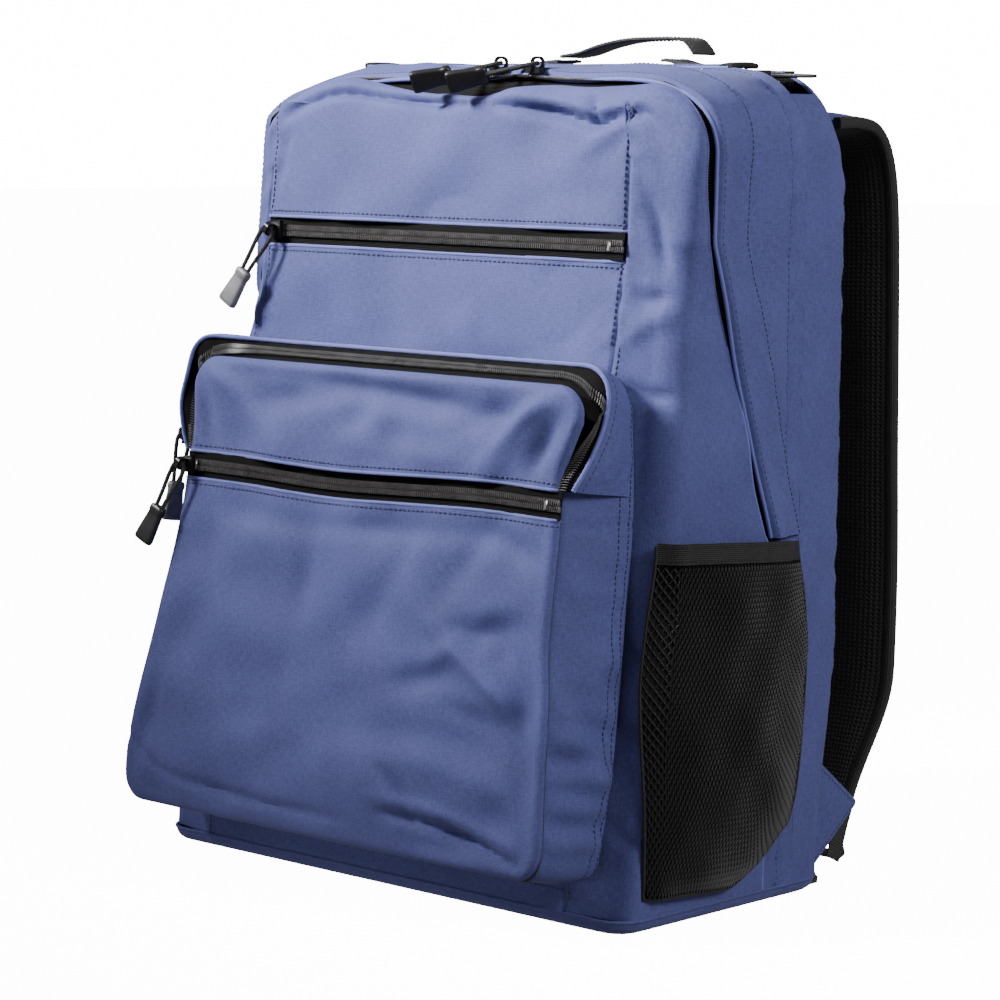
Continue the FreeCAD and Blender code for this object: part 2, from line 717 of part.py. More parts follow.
def pocket_outline(inset, low=None, high=None):
    """The pocket seen from the front, all of it or the part between two heights, this far inside its edge."""
    bottom = POCKET_BASE + inset if low is None else low
    top = POCKET_TOP - inset if high is None else high
    wide, narrow = pocket_half(bottom) - inset, pocket_half(top) - inset
    low_round = (CORNER - inset,) if low is None else ()
    high_round = (CORNER - inset,) if high is None else ()
    return [(-wide, bottom) + low_round, (wide, bottom) + low_round,
            (narrow, top) + high_round, (-narrow, top) + high_round]


pocket_gusset = plate("pocket_gusset", "XZ_Plane", [pocket_outline(0), pocket_outline(CLOTH)], RING_DEPTH,
                      leaning_at(0, 0, 0))
ZIP_DEPTH = 20.0                             # from the pack to the mouth zipper's near edge
pocket(pocket_gusset, "YZ_Plane", [rectangle(-FAR, MOUTH, GAP - ZIP_DEPTH, FAR)])
plate("pocket_front_panel", "XZ_Plane", [pocket_outline(0, high=SLASH - TAPE_HALF)], CLOTH,
      leaning_at(0, RING_DEPTH, 0))

mouth_flap = plate("pocket_flap_panel", "XZ_Plane", [pocket_outline(0, low=MOUTH + GAP)], SKIRT,
                   leaning_at(0, POCKET_DEPTH - SKIRT, 0))
pocket(mouth_flap, "XZ_Plane", [pocket_outline(CLOTH, low=MOUTH - 1)], SKIRT - CLOTH, reverse=True)

mouth_zip = new_body("pocket_zip_chain")
pad(mouth_zip, "XZ_Plane", [pocket_outline(SUNK), pocket_outline(SUNK + TAPE)], TAPE_HALF * 2)
pad(mouth_zip, "XZ_Plane", [pocket_outline(SUNK - COIL_RISE), pocket_outline(SUNK)], TAPE_HALF + COIL_HALF)
pocket(mouth_zip, "XZ_Plane", [AROUND, pocket_outline(SUNK)], TAPE_HALF - COIL_HALF, reverse=True)
pocket(mouth_zip, "YZ_Plane", [rectangle(-FAR, -FAR, FAR, MOUTH + GAP)])
keep(mouth_zip, leaning_at(0, ZIP_DEPTH, 0))

# ---------------------------------------------------------------- sliders, pull cords and grips

SLIDER_LONG = 12.0
SLIDER_WIDE = 11.0
SLIDER_DEEP = 3.2
BRIDGE_HOLE = 2.4                            # radius of the hole that the pull's cord goes through
BRIDGE_WIDE = 3.4
BRIDGE_HALF = 3.9
HOLE_UP = SLIDER_DEEP + BRIDGE_HOLE + 0.2    # from the slider's underside to the hole's centre
GRIP = dim("grip_length")


def slider(label, placement, bridge_turn):
    """A slider on a coil along local X. Local -Y faces out, and the origin is on its underside."""
    body = new_body(label)
    wide, narrow = SLIDER_WIDE / 2, SLIDER_WIDE / 3
    ends = SLIDER_LONG / 2
    pad(body, "XZ_Plane", [[(-ends, -narrow), (ends, -wide), (ends, wide), (-ends, narrow)]], SLIDER_DEEP)
    top = HOLE_UP + BRIDGE_HOLE + 1.4
    pad(body, "YZ_Plane", [[(-1, -BRIDGE_HALF), (-1, BRIDGE_HALF), (-top, BRIDGE_HALF, 3),
                            (-top, -BRIDGE_HALF, 3)]], BRIDGE_WIDE, middle=True, turn=bridge_turn)
    bore(body, "YZ_Plane", (-HOLE_UP, 0), BRIDGE_HOLE, bridge_turn)
    return keep(body, placement)


def bore(body, plane, centre, radius, turn):
    """A round hole through all, at a place on one of the body's own planes."""
    doc.recompute()
    sketch = new_sketch(body, plane, turn)
    ring = sketch.addGeometry(Part.Circle(Vector(centre[0], centre[1], 0), UPRIGHT, radius), False)
    constrain(sketch, centre[0], "DistanceX", -1, 1, ring, 3)
    constrain(sketch, centre[1], "DistanceY", -1, 1, ring, 3)
    constrain(sketch, radius, "Radius", ring)
    hole = body.newObject("PartDesign::Pocket", body.Label + "_hole")
    hole.Profile = sketch
    hole.Length = 2 * FAR
    hole.SideType = "Symmetric"


def cord_path(points):
    """Straight runs joined by tangent arcs, each as large as its two runs allow."""
    edges, radii = [], []
    last = points[0]
    for before, corner, after in zip(points, points[1:], points[2:]):
        back, onward = before - corner, after - corner
        half_turn = (math.pi - back.getAngle(onward)) / 2
        reach = 0.45 * min(back.Length, onward.Length)
        radius = reach / math.tan(half_turn)
        enter, leave = corner + unit(corner, before) * reach, corner + unit(corner, after) * reach
        middle = (unit(corner, before) + unit(corner, after)).normalize()
        centre = corner + middle * (radius / math.cos(half_turn))
        edges.append(Part.LineSegment(last, enter).toShape())
        edges.append(Part.Arc(enter, centre - middle * radius, leave).toShape())
        radii.append(radius)
        last = leave
    edges.append(Part.LineSegment(last, points[-1]).toShape())
    return Part.Wire(edges), radii


def tube(label, points, diameter, placement):
    """A cord as a round tube along its route."""
    path, radii = cord_path(points)
    direction = unit(points[0], points[1])
    ring = Part.Wire([Part.Circle(points[0], direction, diameter / 2).toShape()])
    sweep = path.makePipeShell([ring], True, False)
    body = doc.addObject("Part::Feature", label)
    body.Shape = sweep
    expected = math.pi * diameter ** 2 / 4 * path.Length
    print("%s: length %.1f, radii %s, volume %.3f of its section times length" % (
        label, path.Length, ["%.1f" % radius for radius in radii], sweep.Volume / expected))
    return keep(body, placement)


# A pull's cord in its own frame: the hole that it goes through is at the origin, and it hangs down -Z.
CORD_ROUTE = [Vector(-2.6, 0, -LOOP.value), Vector(-3.2, 0, -20), Vector(-4.6, 0, -10), Vector(-4.9, 0, 0),
              Vector(4.9, 0, 0), Vector(4.6, 0, -10), Vector(3.2, 0, -20), Vector(2.6, 0, -LOOP.value)]


def pull(name, hung):
    """A cord loop and its moulded grip, hung at a placement."""
    tube(name + "_cord", CORD_ROUTE, CORD.value, hung)
    grip = new_body(name + "_grip")
    half, foot = dim("grip_width") / 2, dim("grip_width") / 2 - 1.5
    pad(grip, "XZ_Plane",
        [[(-foot, -LOOP), (-half, -LOOP - GRIP, 3), (half, -LOOP - GRIP, 3), (foot, -LOOP)]],
        dim("grip_thick"), middle=True)
    fillet(grip, lambda edge: not along(edge, DEPTHWISE) and edge.CenterOfMass.z < -LOOP.value - 1, 1.2)
    keep(grip, hung)


def hung_pull(name, slider_place, roll, lift):
    """A slider with its pull: rolled in the zipper's plane, and lifted off it, by some degrees."""
    slider(name + "_slider", slider_place, roll)
    turn = Rotation(Vector(0, 1, 0), roll) * Rotation(Vector(1, 0, 0), lift)
    pull(name, slider_place * Placement(Vector(0, -HOLE_UP, 0), turn))


SLIDER_OUT = COIL_RISE.value - SUNK + GAP    # a slider's underside above the cloth's face
hung_pull("upper", leaning_at(-132, SLIDER_OUT, dim("upper_zip")), 28, -LEAN)
hung_pull("slash", leaning_at(-145, POCKET_DEPTH + SLIDER_OUT, SLASH), 23, -LEAN)

SIDE_UP = 248.0
side_slope = math.degrees(math.atan(((HALF_BASE - HALF_TOP) / (POCKET_TOP - POCKET_BASE)).value))
side_face = leaning_at(-pocket_half(as_size(SIDE_UP)) - SLIDER_OUT, ZIP_DEPTH + TAPE_HALF, SIDE_UP)
side_turn = Rotation(Vector(0, 1, 0), side_slope - 90) * Rotation(Vector(1, 0, 0), -90)
hung_pull("pocket", side_face * Placement(Vector(), side_turn), 90, -side_slope)

MAIN_UP = HEIGHT - COIL_IN + 0.7             # underside of the main zipper's sliders
FLAT = Rotation(Vector(1, 0, 0), -90)        # turns a slider's face up
for name, x in (("main_left", 26), ("main_right", 54)):
    hung_pull(name, Placement(Vector(x, ZIP_LINE.value, MAIN_UP.value), FLAT), 56, 13)

REAR_X = 128.0
REAR_SLIDER = 3.4
rear_up = CHANNEL_BASE + CHANNEL_WALL + COIL_RISE + GAP
plate("rear_slider", "XZ_Plane", [rectangle(-6, -5, 6, 5, 1)], REAR_SLIDER,
      Placement(Vector(REAR_X, REAR_ZIP.value, rear_up.value), FLAT))
PULL_THICK = 1.8
plate("rear_pull", "XY_Plane", [[(0, -3.5), (48, -5.5, 2), (48, 5.5, 2), (0, 3.5)]], PULL_THICK,
      Placement(Vector(REAR_X + 6, REAR_ZIP.value, (rear_up + REAR_SLIDER + GAP).value),
                Rotation(Vector(0, 1, 0), 3)))

# ---------------------------------------------------------------- check and write the parts

doc.recompute()
for thing in doc.Objects:
    if "Invalid" in thing.State or "Error" in thing.State:
        raise RuntimeError("%s failed: %s" % (thing.Label, thing.State))
for part in parts:
    if part.Shape.isNull() or not part.Shape.isValid() or not part.Shape.Solids:
        raise RuntimeError("%s has no valid solid" % part.Label)

os.makedirs("parts", exist_ok=True)
for part in parts:
    part.Shape.exportStep(os.path.join("parts", part.Label + ".step"))
print("%d parts" % len(parts))
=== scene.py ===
import json
import math

import bpy
import numpy as np
from mathutils import Matrix, Vector


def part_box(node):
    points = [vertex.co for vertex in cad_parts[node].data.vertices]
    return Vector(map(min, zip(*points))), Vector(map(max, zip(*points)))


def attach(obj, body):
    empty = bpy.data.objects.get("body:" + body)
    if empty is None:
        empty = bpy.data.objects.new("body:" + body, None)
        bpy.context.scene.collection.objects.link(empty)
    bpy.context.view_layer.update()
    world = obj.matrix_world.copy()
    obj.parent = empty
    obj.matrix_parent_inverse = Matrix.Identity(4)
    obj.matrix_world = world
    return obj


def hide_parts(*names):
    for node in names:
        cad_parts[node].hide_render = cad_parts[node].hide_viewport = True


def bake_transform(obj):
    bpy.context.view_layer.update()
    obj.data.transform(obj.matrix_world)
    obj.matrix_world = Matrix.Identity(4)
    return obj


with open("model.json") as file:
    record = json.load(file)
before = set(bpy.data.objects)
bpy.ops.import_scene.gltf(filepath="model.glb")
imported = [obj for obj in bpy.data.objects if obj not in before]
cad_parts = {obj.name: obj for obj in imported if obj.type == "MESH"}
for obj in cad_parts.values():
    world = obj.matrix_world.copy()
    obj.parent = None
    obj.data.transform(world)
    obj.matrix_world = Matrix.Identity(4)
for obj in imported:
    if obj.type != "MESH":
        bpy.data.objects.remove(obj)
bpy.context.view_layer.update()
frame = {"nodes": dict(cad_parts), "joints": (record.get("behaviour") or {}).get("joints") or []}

# Shapes are worked out in millimetres, in the frame's axes: +Z up, the front faces -Y. Objects are in metres.
MM = 0.001


def corners(node):
    """A CAD node's lowest and highest corners, in millimetres."""
    low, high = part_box(node)
    return np.array(low) / MM, np.array(high) / MM


HALF, BACK, HEIGHT = corners("back_panel")[1]
FRONT = corners("base_panel")[0][1]
FOLD_FRONT, FOLD = corners("upper_front_panel")[0][1:]
PANEL_HALF, PANEL_TOP = corners("upper_front_panel")[1][0], corners("upper_front_panel")[1][2]
FRONT_TOP = corners("upper_front_gusset")[1][2]
SPLIT = corners("divider_panel")[1][1]
LEAN_SLOPE = (FOLD_FRONT - FRONT) / FOLD
LEAN = math.atan(LEAN_SLOPE)
OUT_OF_FACE = np.array((0, -math.cos(LEAN), math.sin(LEAN)))
SHOULDER = 45.0                              # rounding of the top corners, seen from the front
ZIP_LINE, ZIP_BEND = -15.0, 375.0            # main zipper: its line along the top, down to its bend,
ZIP_END_LINE, ZIP_END = 39.0, 208.0          # and where it ends low on the side
ZIP_SUNK = 5.0                               # main zipper's tape under the outline
BASE_EDGE = 8.0                              # height of the base's turned-up edge
INSIDE = np.array((0.0, 20.0, 230.0))        # a point inside the pack
UPPER_ZIP = corners("upper_zip_chain")[0][2] / 2 + corners("upper_zip_chain")[1][2] / 2
SLOT_HALF = 8.5                              # half the height of the upper zipper's slot
SIDES = ("left", -1), ("right", 1)


# ---------------------------------------------------------------- numbers

def ramp(value, start, end):
    """A smooth step from 0 at the start to 1 at the end."""
    t = np.clip((value - start) / (end - start), 0, 1)
    return t * t * (3 - 2 * t)


def bump(value, middle, width):
    """A smooth hump that is 1 at its middle."""
    return np.exp(-((value - middle) / width) ** 2)


def rough(points, size, seed, stretch=(1, 1, 1)):
    """Smooth noise about -1 to 1 at places in space. Its lumps are about half the size across."""
    draw = np.random.default_rng(seed)
    total = np.zeros(points.shape[:-1])
    for _ in range(14):
        way = draw.normal(size=3)
        way /= np.linalg.norm(way) * size * draw.uniform(0.7, 1.5)
        total += np.sin(2 * np.pi * (points * stretch) @ way + draw.uniform(0, 2 * np.pi))
    return total / 4


def unit(vectors):
    """The vectors' directions."""
    return vectors / np.maximum(np.linalg.norm(vectors, axis=-1, keepdims=True), 1e-9)


def repeated(way, count):
    """The same direction for each point of a line."""
    return np.tile(way, (count, 1))


def spaced(start, end, step):
    """Even stations from start to end, about a step apart."""
    return np.linspace(start, end, max(3, int(round(abs(end - start) / step)) + 1))


def fine_ends(start, end, step):
    """Stations with closer ones near both ends, for a seam's groove."""
    near = np.array([0, 0.7, 1.6, 2.8])
    return np.concatenate([start + near, spaced(start + 4.5, end - 4.5, step), end - near[::-1]])


def lengths(points):
    """Distance along a line of points, from its start."""
    return np.concatenate([[0], np.cumsum(np.linalg.norm(np.diff(points, axis=0), axis=1))])


def read_line(values, far, places):
    """Values given at some distances along a line, at other places on it."""
    return np.stack([np.interp(places, far, column) for column in values.T], -1)


def resample(points, step, *others):
    """Points evenly spaced along a line, and other values along it at the same places."""
    far = lengths(points)
    places = spaced(0, far[-1], step)
    return [read_line(line, far, places) for line in (points,) + others]


def same_count(line, count):
    """A line with its points respaced, so that there are this many."""
    far = lengths(line)
    return read_line(line, far, np.linspace(0, far[-1], count))


def smooth_line(controls, step):
    """An even line through a few control points, rounded as a Catmull-Rom curve."""
    controls = np.array(controls, float)
    ends = np.vstack([2 * controls[0] - controls[1], controls, 2 * controls[-1] - controls[-2]])
    pieces = []
    for a, b, c, d in zip(ends, ends[1:], ends[2:], ends[3:]):
        for t in np.linspace(0, 1, 24, endpoint=False):
            pieces.append(0.5 * (2 * b + (c - a) * t + (2 * a - 5 * b + 4 * c - d) * t * t
                                 + (3 * b - a - 3 * c + d) * t ** 3))
    return resample(np.array(pieces + [controls[-1]]), step)[0]


# ---------------------------------------------------------------- the pack's outline

def front_y(z):
    """Y of the leaning front face at a height."""
    return FRONT + z * LEAN_SLOPE


def lean(x, out, up):
    """A place in the front face's own leaning frame: across, in front of the face, and up along it."""
    x, out, up = np.broadcast_arrays(x, out, up)
    return np.stack([x, FRONT - out * math.cos(LEAN) + up * math.sin(LEAN),
                     out * math.sin(LEAN) + up * math.cos(LEAN)], -1).astype(float)


def hoop(h, top):
    """X, Z and the outward direction along an arch: 0 at its top centre, positive to the right."""
    flat = HALF - SHOULDER
    size = np.abs(h)
    turn = np.clip((size - flat) / SHOULDER, 0, np.pi / 2)
    down = np.clip(size - flat - SHOULDER * np.pi / 2, 0, None)
    side = np.where(np.asarray(h) < 0, -1.0, 1.0)
    x = side * (np.minimum(size, flat) + SHOULDER * np.sin(turn))
    z = top - SHOULDER + SHOULDER * np.cos(turn) - down
    return x, z, side * np.sin(turn), np.cos(turn)


def down_to(z, top):
    """How far along the arch a height on its straight side is."""
    return HALF - SHOULDER + SHOULDER * np.pi / 2 + top - SHOULDER - z


def tucked(points):
    """The left front corner gives way as the bag stands, so its upper part is beveled rather than square."""
    x, y, z = points[..., 0], points[..., 1], points[..., 2]
    bevel = -(PANEL_HALF + 2.0) + 0.94 * (np.minimum(front_y(z), front_y(430.0)) - y)
    beyond = np.maximum(bevel - x, 0) * ramp(z, 215, 330)
    soft = 1 - ramp(y, 30, 58)
    sag = (3.4 - 2.2 * bump(x, 40, 26)) * ramp(z, 440, 466) + 21.0 * ramp(-x, 85, 178) * ramp(z, 330, 452)
    moved = points.copy()
    moved[..., 0] += 0.8 * beyond
    moved[..., 2] -= sag * soft
    return moved


def zip_line(z):
    """Y of the main zipper's line at a height."""
    rake = (ZIP_END_LINE - ZIP_LINE) / (ZIP_BEND - ZIP_END)
    return np.where(z > ZIP_BEND, ZIP_LINE, np.minimum(ZIP_LINE + (ZIP_BEND - z) * rake, ZIP_END_LINE))


def zip_gap(x, z):
    """How far the front section's rear edge stands back from the zipper: it gapes in a few places."""
    wide = 4.0 + 4.0 * bump(z, 415, 28) * (np.abs(x) > 150) + 4.0 * bump(z, 245, 26) + 1.5 * bump(z, 445, 12)
    return wide * ramp(z, ZIP_END - 8, ZIP_END + 4)


def top_sag(x):
    """How far the front section's top edge sags at the zipper, in the middle."""
    return 15.0 * bump(x, 20, 34) + 4.0 * bump(x, -45, 30) + 2.5 * bump(x, 95, 22)


def front_skin(hs, shares):
    """The front section round its corner: rows along the arch, columns from the seam to the rear edge."""
    rows = []
    for h in hs:
        x, z, nx, nz = (float(value) for value in hoop(h, FRONT_TOP))
        turn = math.atan2(abs(nx), nz) / (math.pi / 2)
        inset = HALF - PANEL_HALF - 28.0 * (1 - ramp(abs(h), 134, 141))
        wide = (14.0 + 7.0 * ramp(turn, 0, 0.7)) if z > 380 else 12.0 + 9.0 * float(ramp(z, 20, 160))
        wide = min(wide, inset - 1)
        rear = float(zip_line(z) - zip_gap(x, z))
        deep = min(wide, 0.92 * (rear - front_y(z)))
        angles = np.linspace(0, np.pi / 2, 30)
        offset = np.concatenate([[inset], wide * (1 - np.sin(angles)), [0]])
        slope = 7.0 * float(ramp(turn, 0.5, 1.0)) * float(ramp(rear - front_y(z), 12, 30))
        back = np.concatenate([[0], slope + (deep - min(slope, deep / 2)) * (1 - np.cos(angles)), [0]])
        line = np.stack([x - nx * offset, np.zeros_like(offset), z - nz * offset], 1)
        line[:, 1] = front_y(line[:, 2]) + back
        line[-1, 1] = rear
        if nz > 0.5:
            line[:, 2] -= top_sag(line[:, 0]) * ramp(np.arange(len(line)), 0, len(line)) * nz
        far = lengths(line)
        rows.append(read_line(line, far, np.asarray(shares) * far[-1]))
    return tucked(np.array(rows))


def rear_round(h):
    """Radius of the corner between the side and the back: soft at the bottom and over the top."""
    z = hoop(h, HEIGHT)[1]
    return 7.0 + 20.0 * (1 - ramp(z, 15, 150)) + 14.0 * ramp(z, 400, 450)


def shell_skin(hs, ys):
    """The side and top behind the zipper: a row of Y for each place on the arch. The last part turns in."""
    y = np.asarray(ys)
    h = np.broadcast_to(np.asarray(hs)[:, None], y.shape)
    x, z, nx, nz = hoop(h, HEIGHT)
    radius = rear_round(h)
    past = np.clip(y - (BACK - radius), 0, radius * np.pi / 2)
    angle = past / radius
    inward = radius * (1 - np.cos(angle)) + 6.0 * (1 - ramp(y, ZIP_LINE - 4, 12)) ** 2 * nz
    place_y = np.minimum(y, BACK - radius) + radius * np.sin(angle)
    return tucked(np.stack([x - nx * inward, place_y, z - nz * inward], -1))


# ---------------------------------------------------------------- mesh building

GRAIN_TURN = np.linspace(0, 2 * np.pi, 6, endpoint=False)
CLOTH_THICK = 1.6                            # outer cloth and its lining together
INK_THREAD, INK_HIGHLIGHT, INK_LINING = 1, 2, 3   # a cloth piece's materials after the cloth itself; the second is a lighter blue, a painted highlight on rolled edges
# Each kind of sewing: how far apart its stitches are, and a stitch's length, width and height
PLAIN_SEWING = (3.3, (2.5, 0.8, 0.7))
BOLD_SEWING = (3.5, (2.5, 1.0, 0.9))
PANEL_SEWING = (3.6, (2.6, 1.0, 0.9))
SHELL_SEWING = (3.8, (2.4, 0.6, 0.5))
COVER_SEWING = (3.8, (2.2, 0.5, 0.4))
HEM_SEWING = (3.6, (2.2, 0.6, 0.5))
BINDING_SEWING = (2.6, (1.8, 0.6, 0.5))
TAB_SEWING = (2.8, (2.2, 0.7, 0.5))
STRAP_SEWING = (3.4, (2.4, 0.7, 0.6))
PAD_SEWING = (3.2, (2.3, 0.7, 0.5))
BAR_SEWING = (2.0, (1.9, 0.8, 0.6))
WEB_SEWING = (3.0, (2.2, 0.7, 0.5))
LOW_WEB_SEWING = (3.0, (2.2, 0.6, 0.5))


def add_object(name, data):
    """A new object in the scene."""
    made = bpy.data.objects.new(name, data)
    bpy.context.scene.collection.objects.link(made)
    return made


class Piece:
    """Geometry gathered for one object, in millimetres, with a material for each part of it."""

    def __init__(self, name, *materials):
        self.name = name
        self.materials = materials
        self.verts, self.uvs, self.faces, self.inks = [], [], [], []
        self.count = 0

    def add(self, verts, uvs, faces, ink):
        """Take in some vertices, with their places on the cloth, and their faces, all of one material."""
        self.verts.append(verts.reshape(-1, 3))
        self.uvs.append(uvs.reshape(-1, 2))
        self.faces += [tuple(int(i) + self.count for i in face) for face in faces]
        self.inks += [ink] * len(faces)
        self.count += verts.size // 3

    def lined(self, grid, away=None):
        """Outer cloth with its lining. Returns the outer face's normals."""
        return self.cloth(grid, CLOTH_THICK, 0, INK_LINING, away)

    def cloth(self, grid, thick, ink=0, lining=None, away=None):
        """A sheet with its outer face at the grid's points. Returns the outer face's normals."""
        out = outward(grid, INSIDE if away is None else away)
        rows, columns = grid.shape[:2]
        index = np.arange(rows * columns).reshape(rows, columns)
        quads = np.stack([index[:-1, :-1], index[1:, :-1], index[1:, 1:], index[:-1, 1:]], -1)
        quads = quads.reshape(-1, 4)
        facing = np.cross(grid[1, 0] - grid[0, 0], grid[0, 1] - grid[0, 0])
        middle = np.cross(grid[rows // 2 + 1, columns // 2] - grid[rows // 2, columns // 2],
                          grid[rows // 2, columns // 2 + 1] - grid[rows // 2, columns // 2])
        if (middle @ out[rows // 2, columns // 2] if np.any(middle) else facing @ out[0, 0]) < 0:
            quads = quads[:, ::-1]
        across = np.linalg.norm(np.diff(grid, axis=0), axis=2).mean(1)
        along = np.linalg.norm(np.diff(grid, axis=1), axis=2).mean(0)
        far = [np.concatenate([[0], np.cumsum(steps)]) for steps in (across, along)]
        uvs = np.stack(np.meshgrid(*far, indexing="ij"), -1) * MM
        self.add(grid, uvs, quads, ink)
        self.add(grid - out * thick, uvs, quads[:, ::-1], ink if lining is None else lining)
        edge = np.concatenate([index[0], index[1:, -1], index[-1, -2::-1], index[-2:0:-1, 0]])
        size = rows * columns
        rim = [(a, a + size, b + size, b) for a, b in zip(edge, np.roll(edge, -1))]
        if tuple(quads[0, :2]) in ((0, columns), (columns + 1, 1)):
            rim = [face[::-1] for face in rim]
        self.faces += [tuple(int(i) + self.count - 2 * size for i in face) for face in rim]
        self.inks += [ink] * len(rim)
        return out

    def grains(self, centres, along, out, size, ink):
        """Small rounded bars, such as stitches or zipper teeth. Size is length, width and height."""
        side = unit(np.cross(along, out))
        out = unit(np.cross(side, along))
        length, width, height = size
        shape = [(-0.5, 0, 0)]
        for at in (-0.36, 0.36):
            shape += [(at, math.cos(turn) / 2, math.sin(turn) / 2) for turn in GRAIN_TURN]
        shape = np.array(shape + [(0.5, 0, 0)])
        faces = [(0, 1 + (i + 1) % 6, 1 + i) for i in range(6)]
        faces += [(1 + i, 1 + (i + 1) % 6, 7 + (i + 1) % 6, 7 + i) for i in range(6)]
        faces += [(13, 7 + i, 7 + (i + 1) % 6) for i in range(6)]
        verts = (centres[:, None] + shape[None, :, :1] * length * along[:, None]
                 + shape[None, :, 1:2] * width * side[:, None]
                 + shape[None, :, 2:] * height * out[:, None])
        uvs = np.broadcast_to(shape[None, :, :2] * 2 * MM, verts.shape[:2] + (2,))
        everything = [tuple(i + 14 * n for i in face) for n in range(len(centres)) for face in faces]
        self.add(verts, np.array(uvs), everything, ink)

    def stitches(self, line, out, ink, sewing):
        """A row of stitches along a line on the cloth."""
        pitch, size = sewing
        line, out = resample(line, pitch, out)
        along = unit(line[1:] - line[:-1])
        self.grains((line[1:] + line[:-1]) / 2, along, unit(out[1:] + out[:-1]), size, ink)

    def sweep(self, line, across, out, section, ink, scale=None):
        """A closed section, (across, out) points, swept along a line, with closed ends."""
        section = np.array(section, float)
        scale = np.ones((len(line), 2)) if scale is None else np.asarray(scale, float)
        verts = (line[:, None] + section[None, :, :1] * scale[:, None, :1] * across[:, None]
                 + section[None, :, 1:] * scale[:, None, 1:] * out[:, None])
        rows, around = verts.shape[:2]
        index = np.arange(rows * around).reshape(rows, around)
        ring = np.roll(index, -1, axis=1)
        quads = np.stack([index[:-1], ring[:-1], ring[1:], index[1:]], -1).reshape(-1, 4)
        caps = [tuple(index[0][::-1]), tuple(index[-1])]
        u, v = np.meshgrid(lengths(line), lengths(section), indexing="ij")
        self.add(verts, np.stack([u, v], -1) * MM, [tuple(quad) for quad in quads] + caps, ink)

    def cord(self, line, radius, ink=0, sides=8):
        """A round tube along a line."""
        along = unit(np.gradient(line, axis=0))
        side = np.zeros_like(along)
        start = np.cross(along[0], (0.3, 0.5, 0.8))
        for i, way in enumerate(along):
            start = unit(start - way * (start @ way))
            side[i] = start
        turn = np.linspace(0, 2 * np.pi, sides, endpoint=False)
        circle = np.stack([np.cos(turn), np.sin(turn)], 1) * radius
        self.sweep(line, side, np.cross(along, side), circle, ink)

    def make(self, body, slot, *nodes):
        """Create the object in place of CAD nodes, riding on its body, or on none."""
        mesh = bpy.data.meshes.new(self.name)
        mesh.from_pydata((np.concatenate(self.verts) * MM).tolist(), [], self.faces)
        uvs = np.concatenate(self.uvs)
        corner_verts = np.zeros(len(mesh.loops), int)
        mesh.loops.foreach_get("vertex_index", corner_verts)
        layer = mesh.uv_layers.new(name="cloth")
        layer.data.foreach_set("uv", uvs[corner_verts].ravel())
        for material in self.materials:
            mesh.materials.append(material)
        mesh.polygons.foreach_set("material_index", self.inks)
        mesh.shade_smooth()
        mesh.set_sharp_from_angle(angle=math.radians(52))
        mesh.validate()
        made = add_object(self.name, mesh)
        if body:
            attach(made, body)
        if nodes:
            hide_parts(*nodes)
        return made


def outward(grid, inside):
    """Unit normals of a grid of points, facing away from a place."""
    normals = unit(np.cross(np.gradient(grid, axis=0), np.gradient(grid, axis=1)))
    if np.sum(normals * (grid - inside)) < 0:
        normals = -normals
    return normals


def raised(grid, amount, away=None):
    """A grid moved out along its own normals."""
    return grid + outward(grid, INSIDE if away is None else away) * np.asarray(amount)[..., None]


def inset_line(grid, out, distance, edge):
    """The line on a grid a distance inside one of its edges, with its normals.

    The edges are the first and last rows, and the left and right ends of the rows.
    """
    if edge in ("first", "last"):
        grid, out = grid.transpose(1, 0, 2), out.transpose(1, 0, 2)
    if edge in ("last", "right"):
        grid, out = grid[:, ::-1], out[:, ::-1]
    line, normals = [], []
    for row, way in zip(grid, out):
        far = lengths(row)
        line.append(read_line(row, far, distance))
        normals.append(read_line(way, far, distance))
    return np.array(line), unit(np.array(normals))


def edge_distance(grid, edge):
    """How far each point of a grid is from one of its edges."""
    turned = grid.transpose(1, 0, 2) if edge in ("first", "last") else grid
    if edge in ("last", "right"):
        turned = turned[:, ::-1]
    far = np.array([lengths(row) for row in turned])
    if edge in ("last", "right"):
        far = far[:, ::-1]
    return far.T if edge in ("first", "last") else far


def seams(grid, edges, seed, depth=1.3, pucker=0.7):
    """How far seams along a sheet's edges pull it in, with the small puckers beside them."""
    total = np.zeros(grid.shape[:2])
    lumps = rough(grid, 15, seed)
    for edge in edges:
        far = edge_distance(grid, edge)
        beside = np.exp(-(far / 11) ** 2) * (1 - np.exp(-far))
        total += pucker * lumps * beside - depth * np.exp(-(far / 1.5) ** 2)
    return total


def creases(grid, folds):
    """How far sharp folds move a surface. Each fold: its line, depth (negative for a groove) and width."""
    total = np.zeros(grid.shape[:2])
    for controls, depth, width in folds:
        line = smooth_line(controls, 3.0)
        gap = np.linalg.norm(grid[:, :, None] - line[None, None], axis=3)
        nearest = gap.argmin(2)
        share = nearest / (len(line) - 1)
        fade = np.sin(np.pi * np.clip(share, 0.02, 0.98)) ** 0.4
        total += depth * np.exp(-(gap.min(2) / width) ** 2) * fade
    return total


# ---------------------------------------------------------------- materials

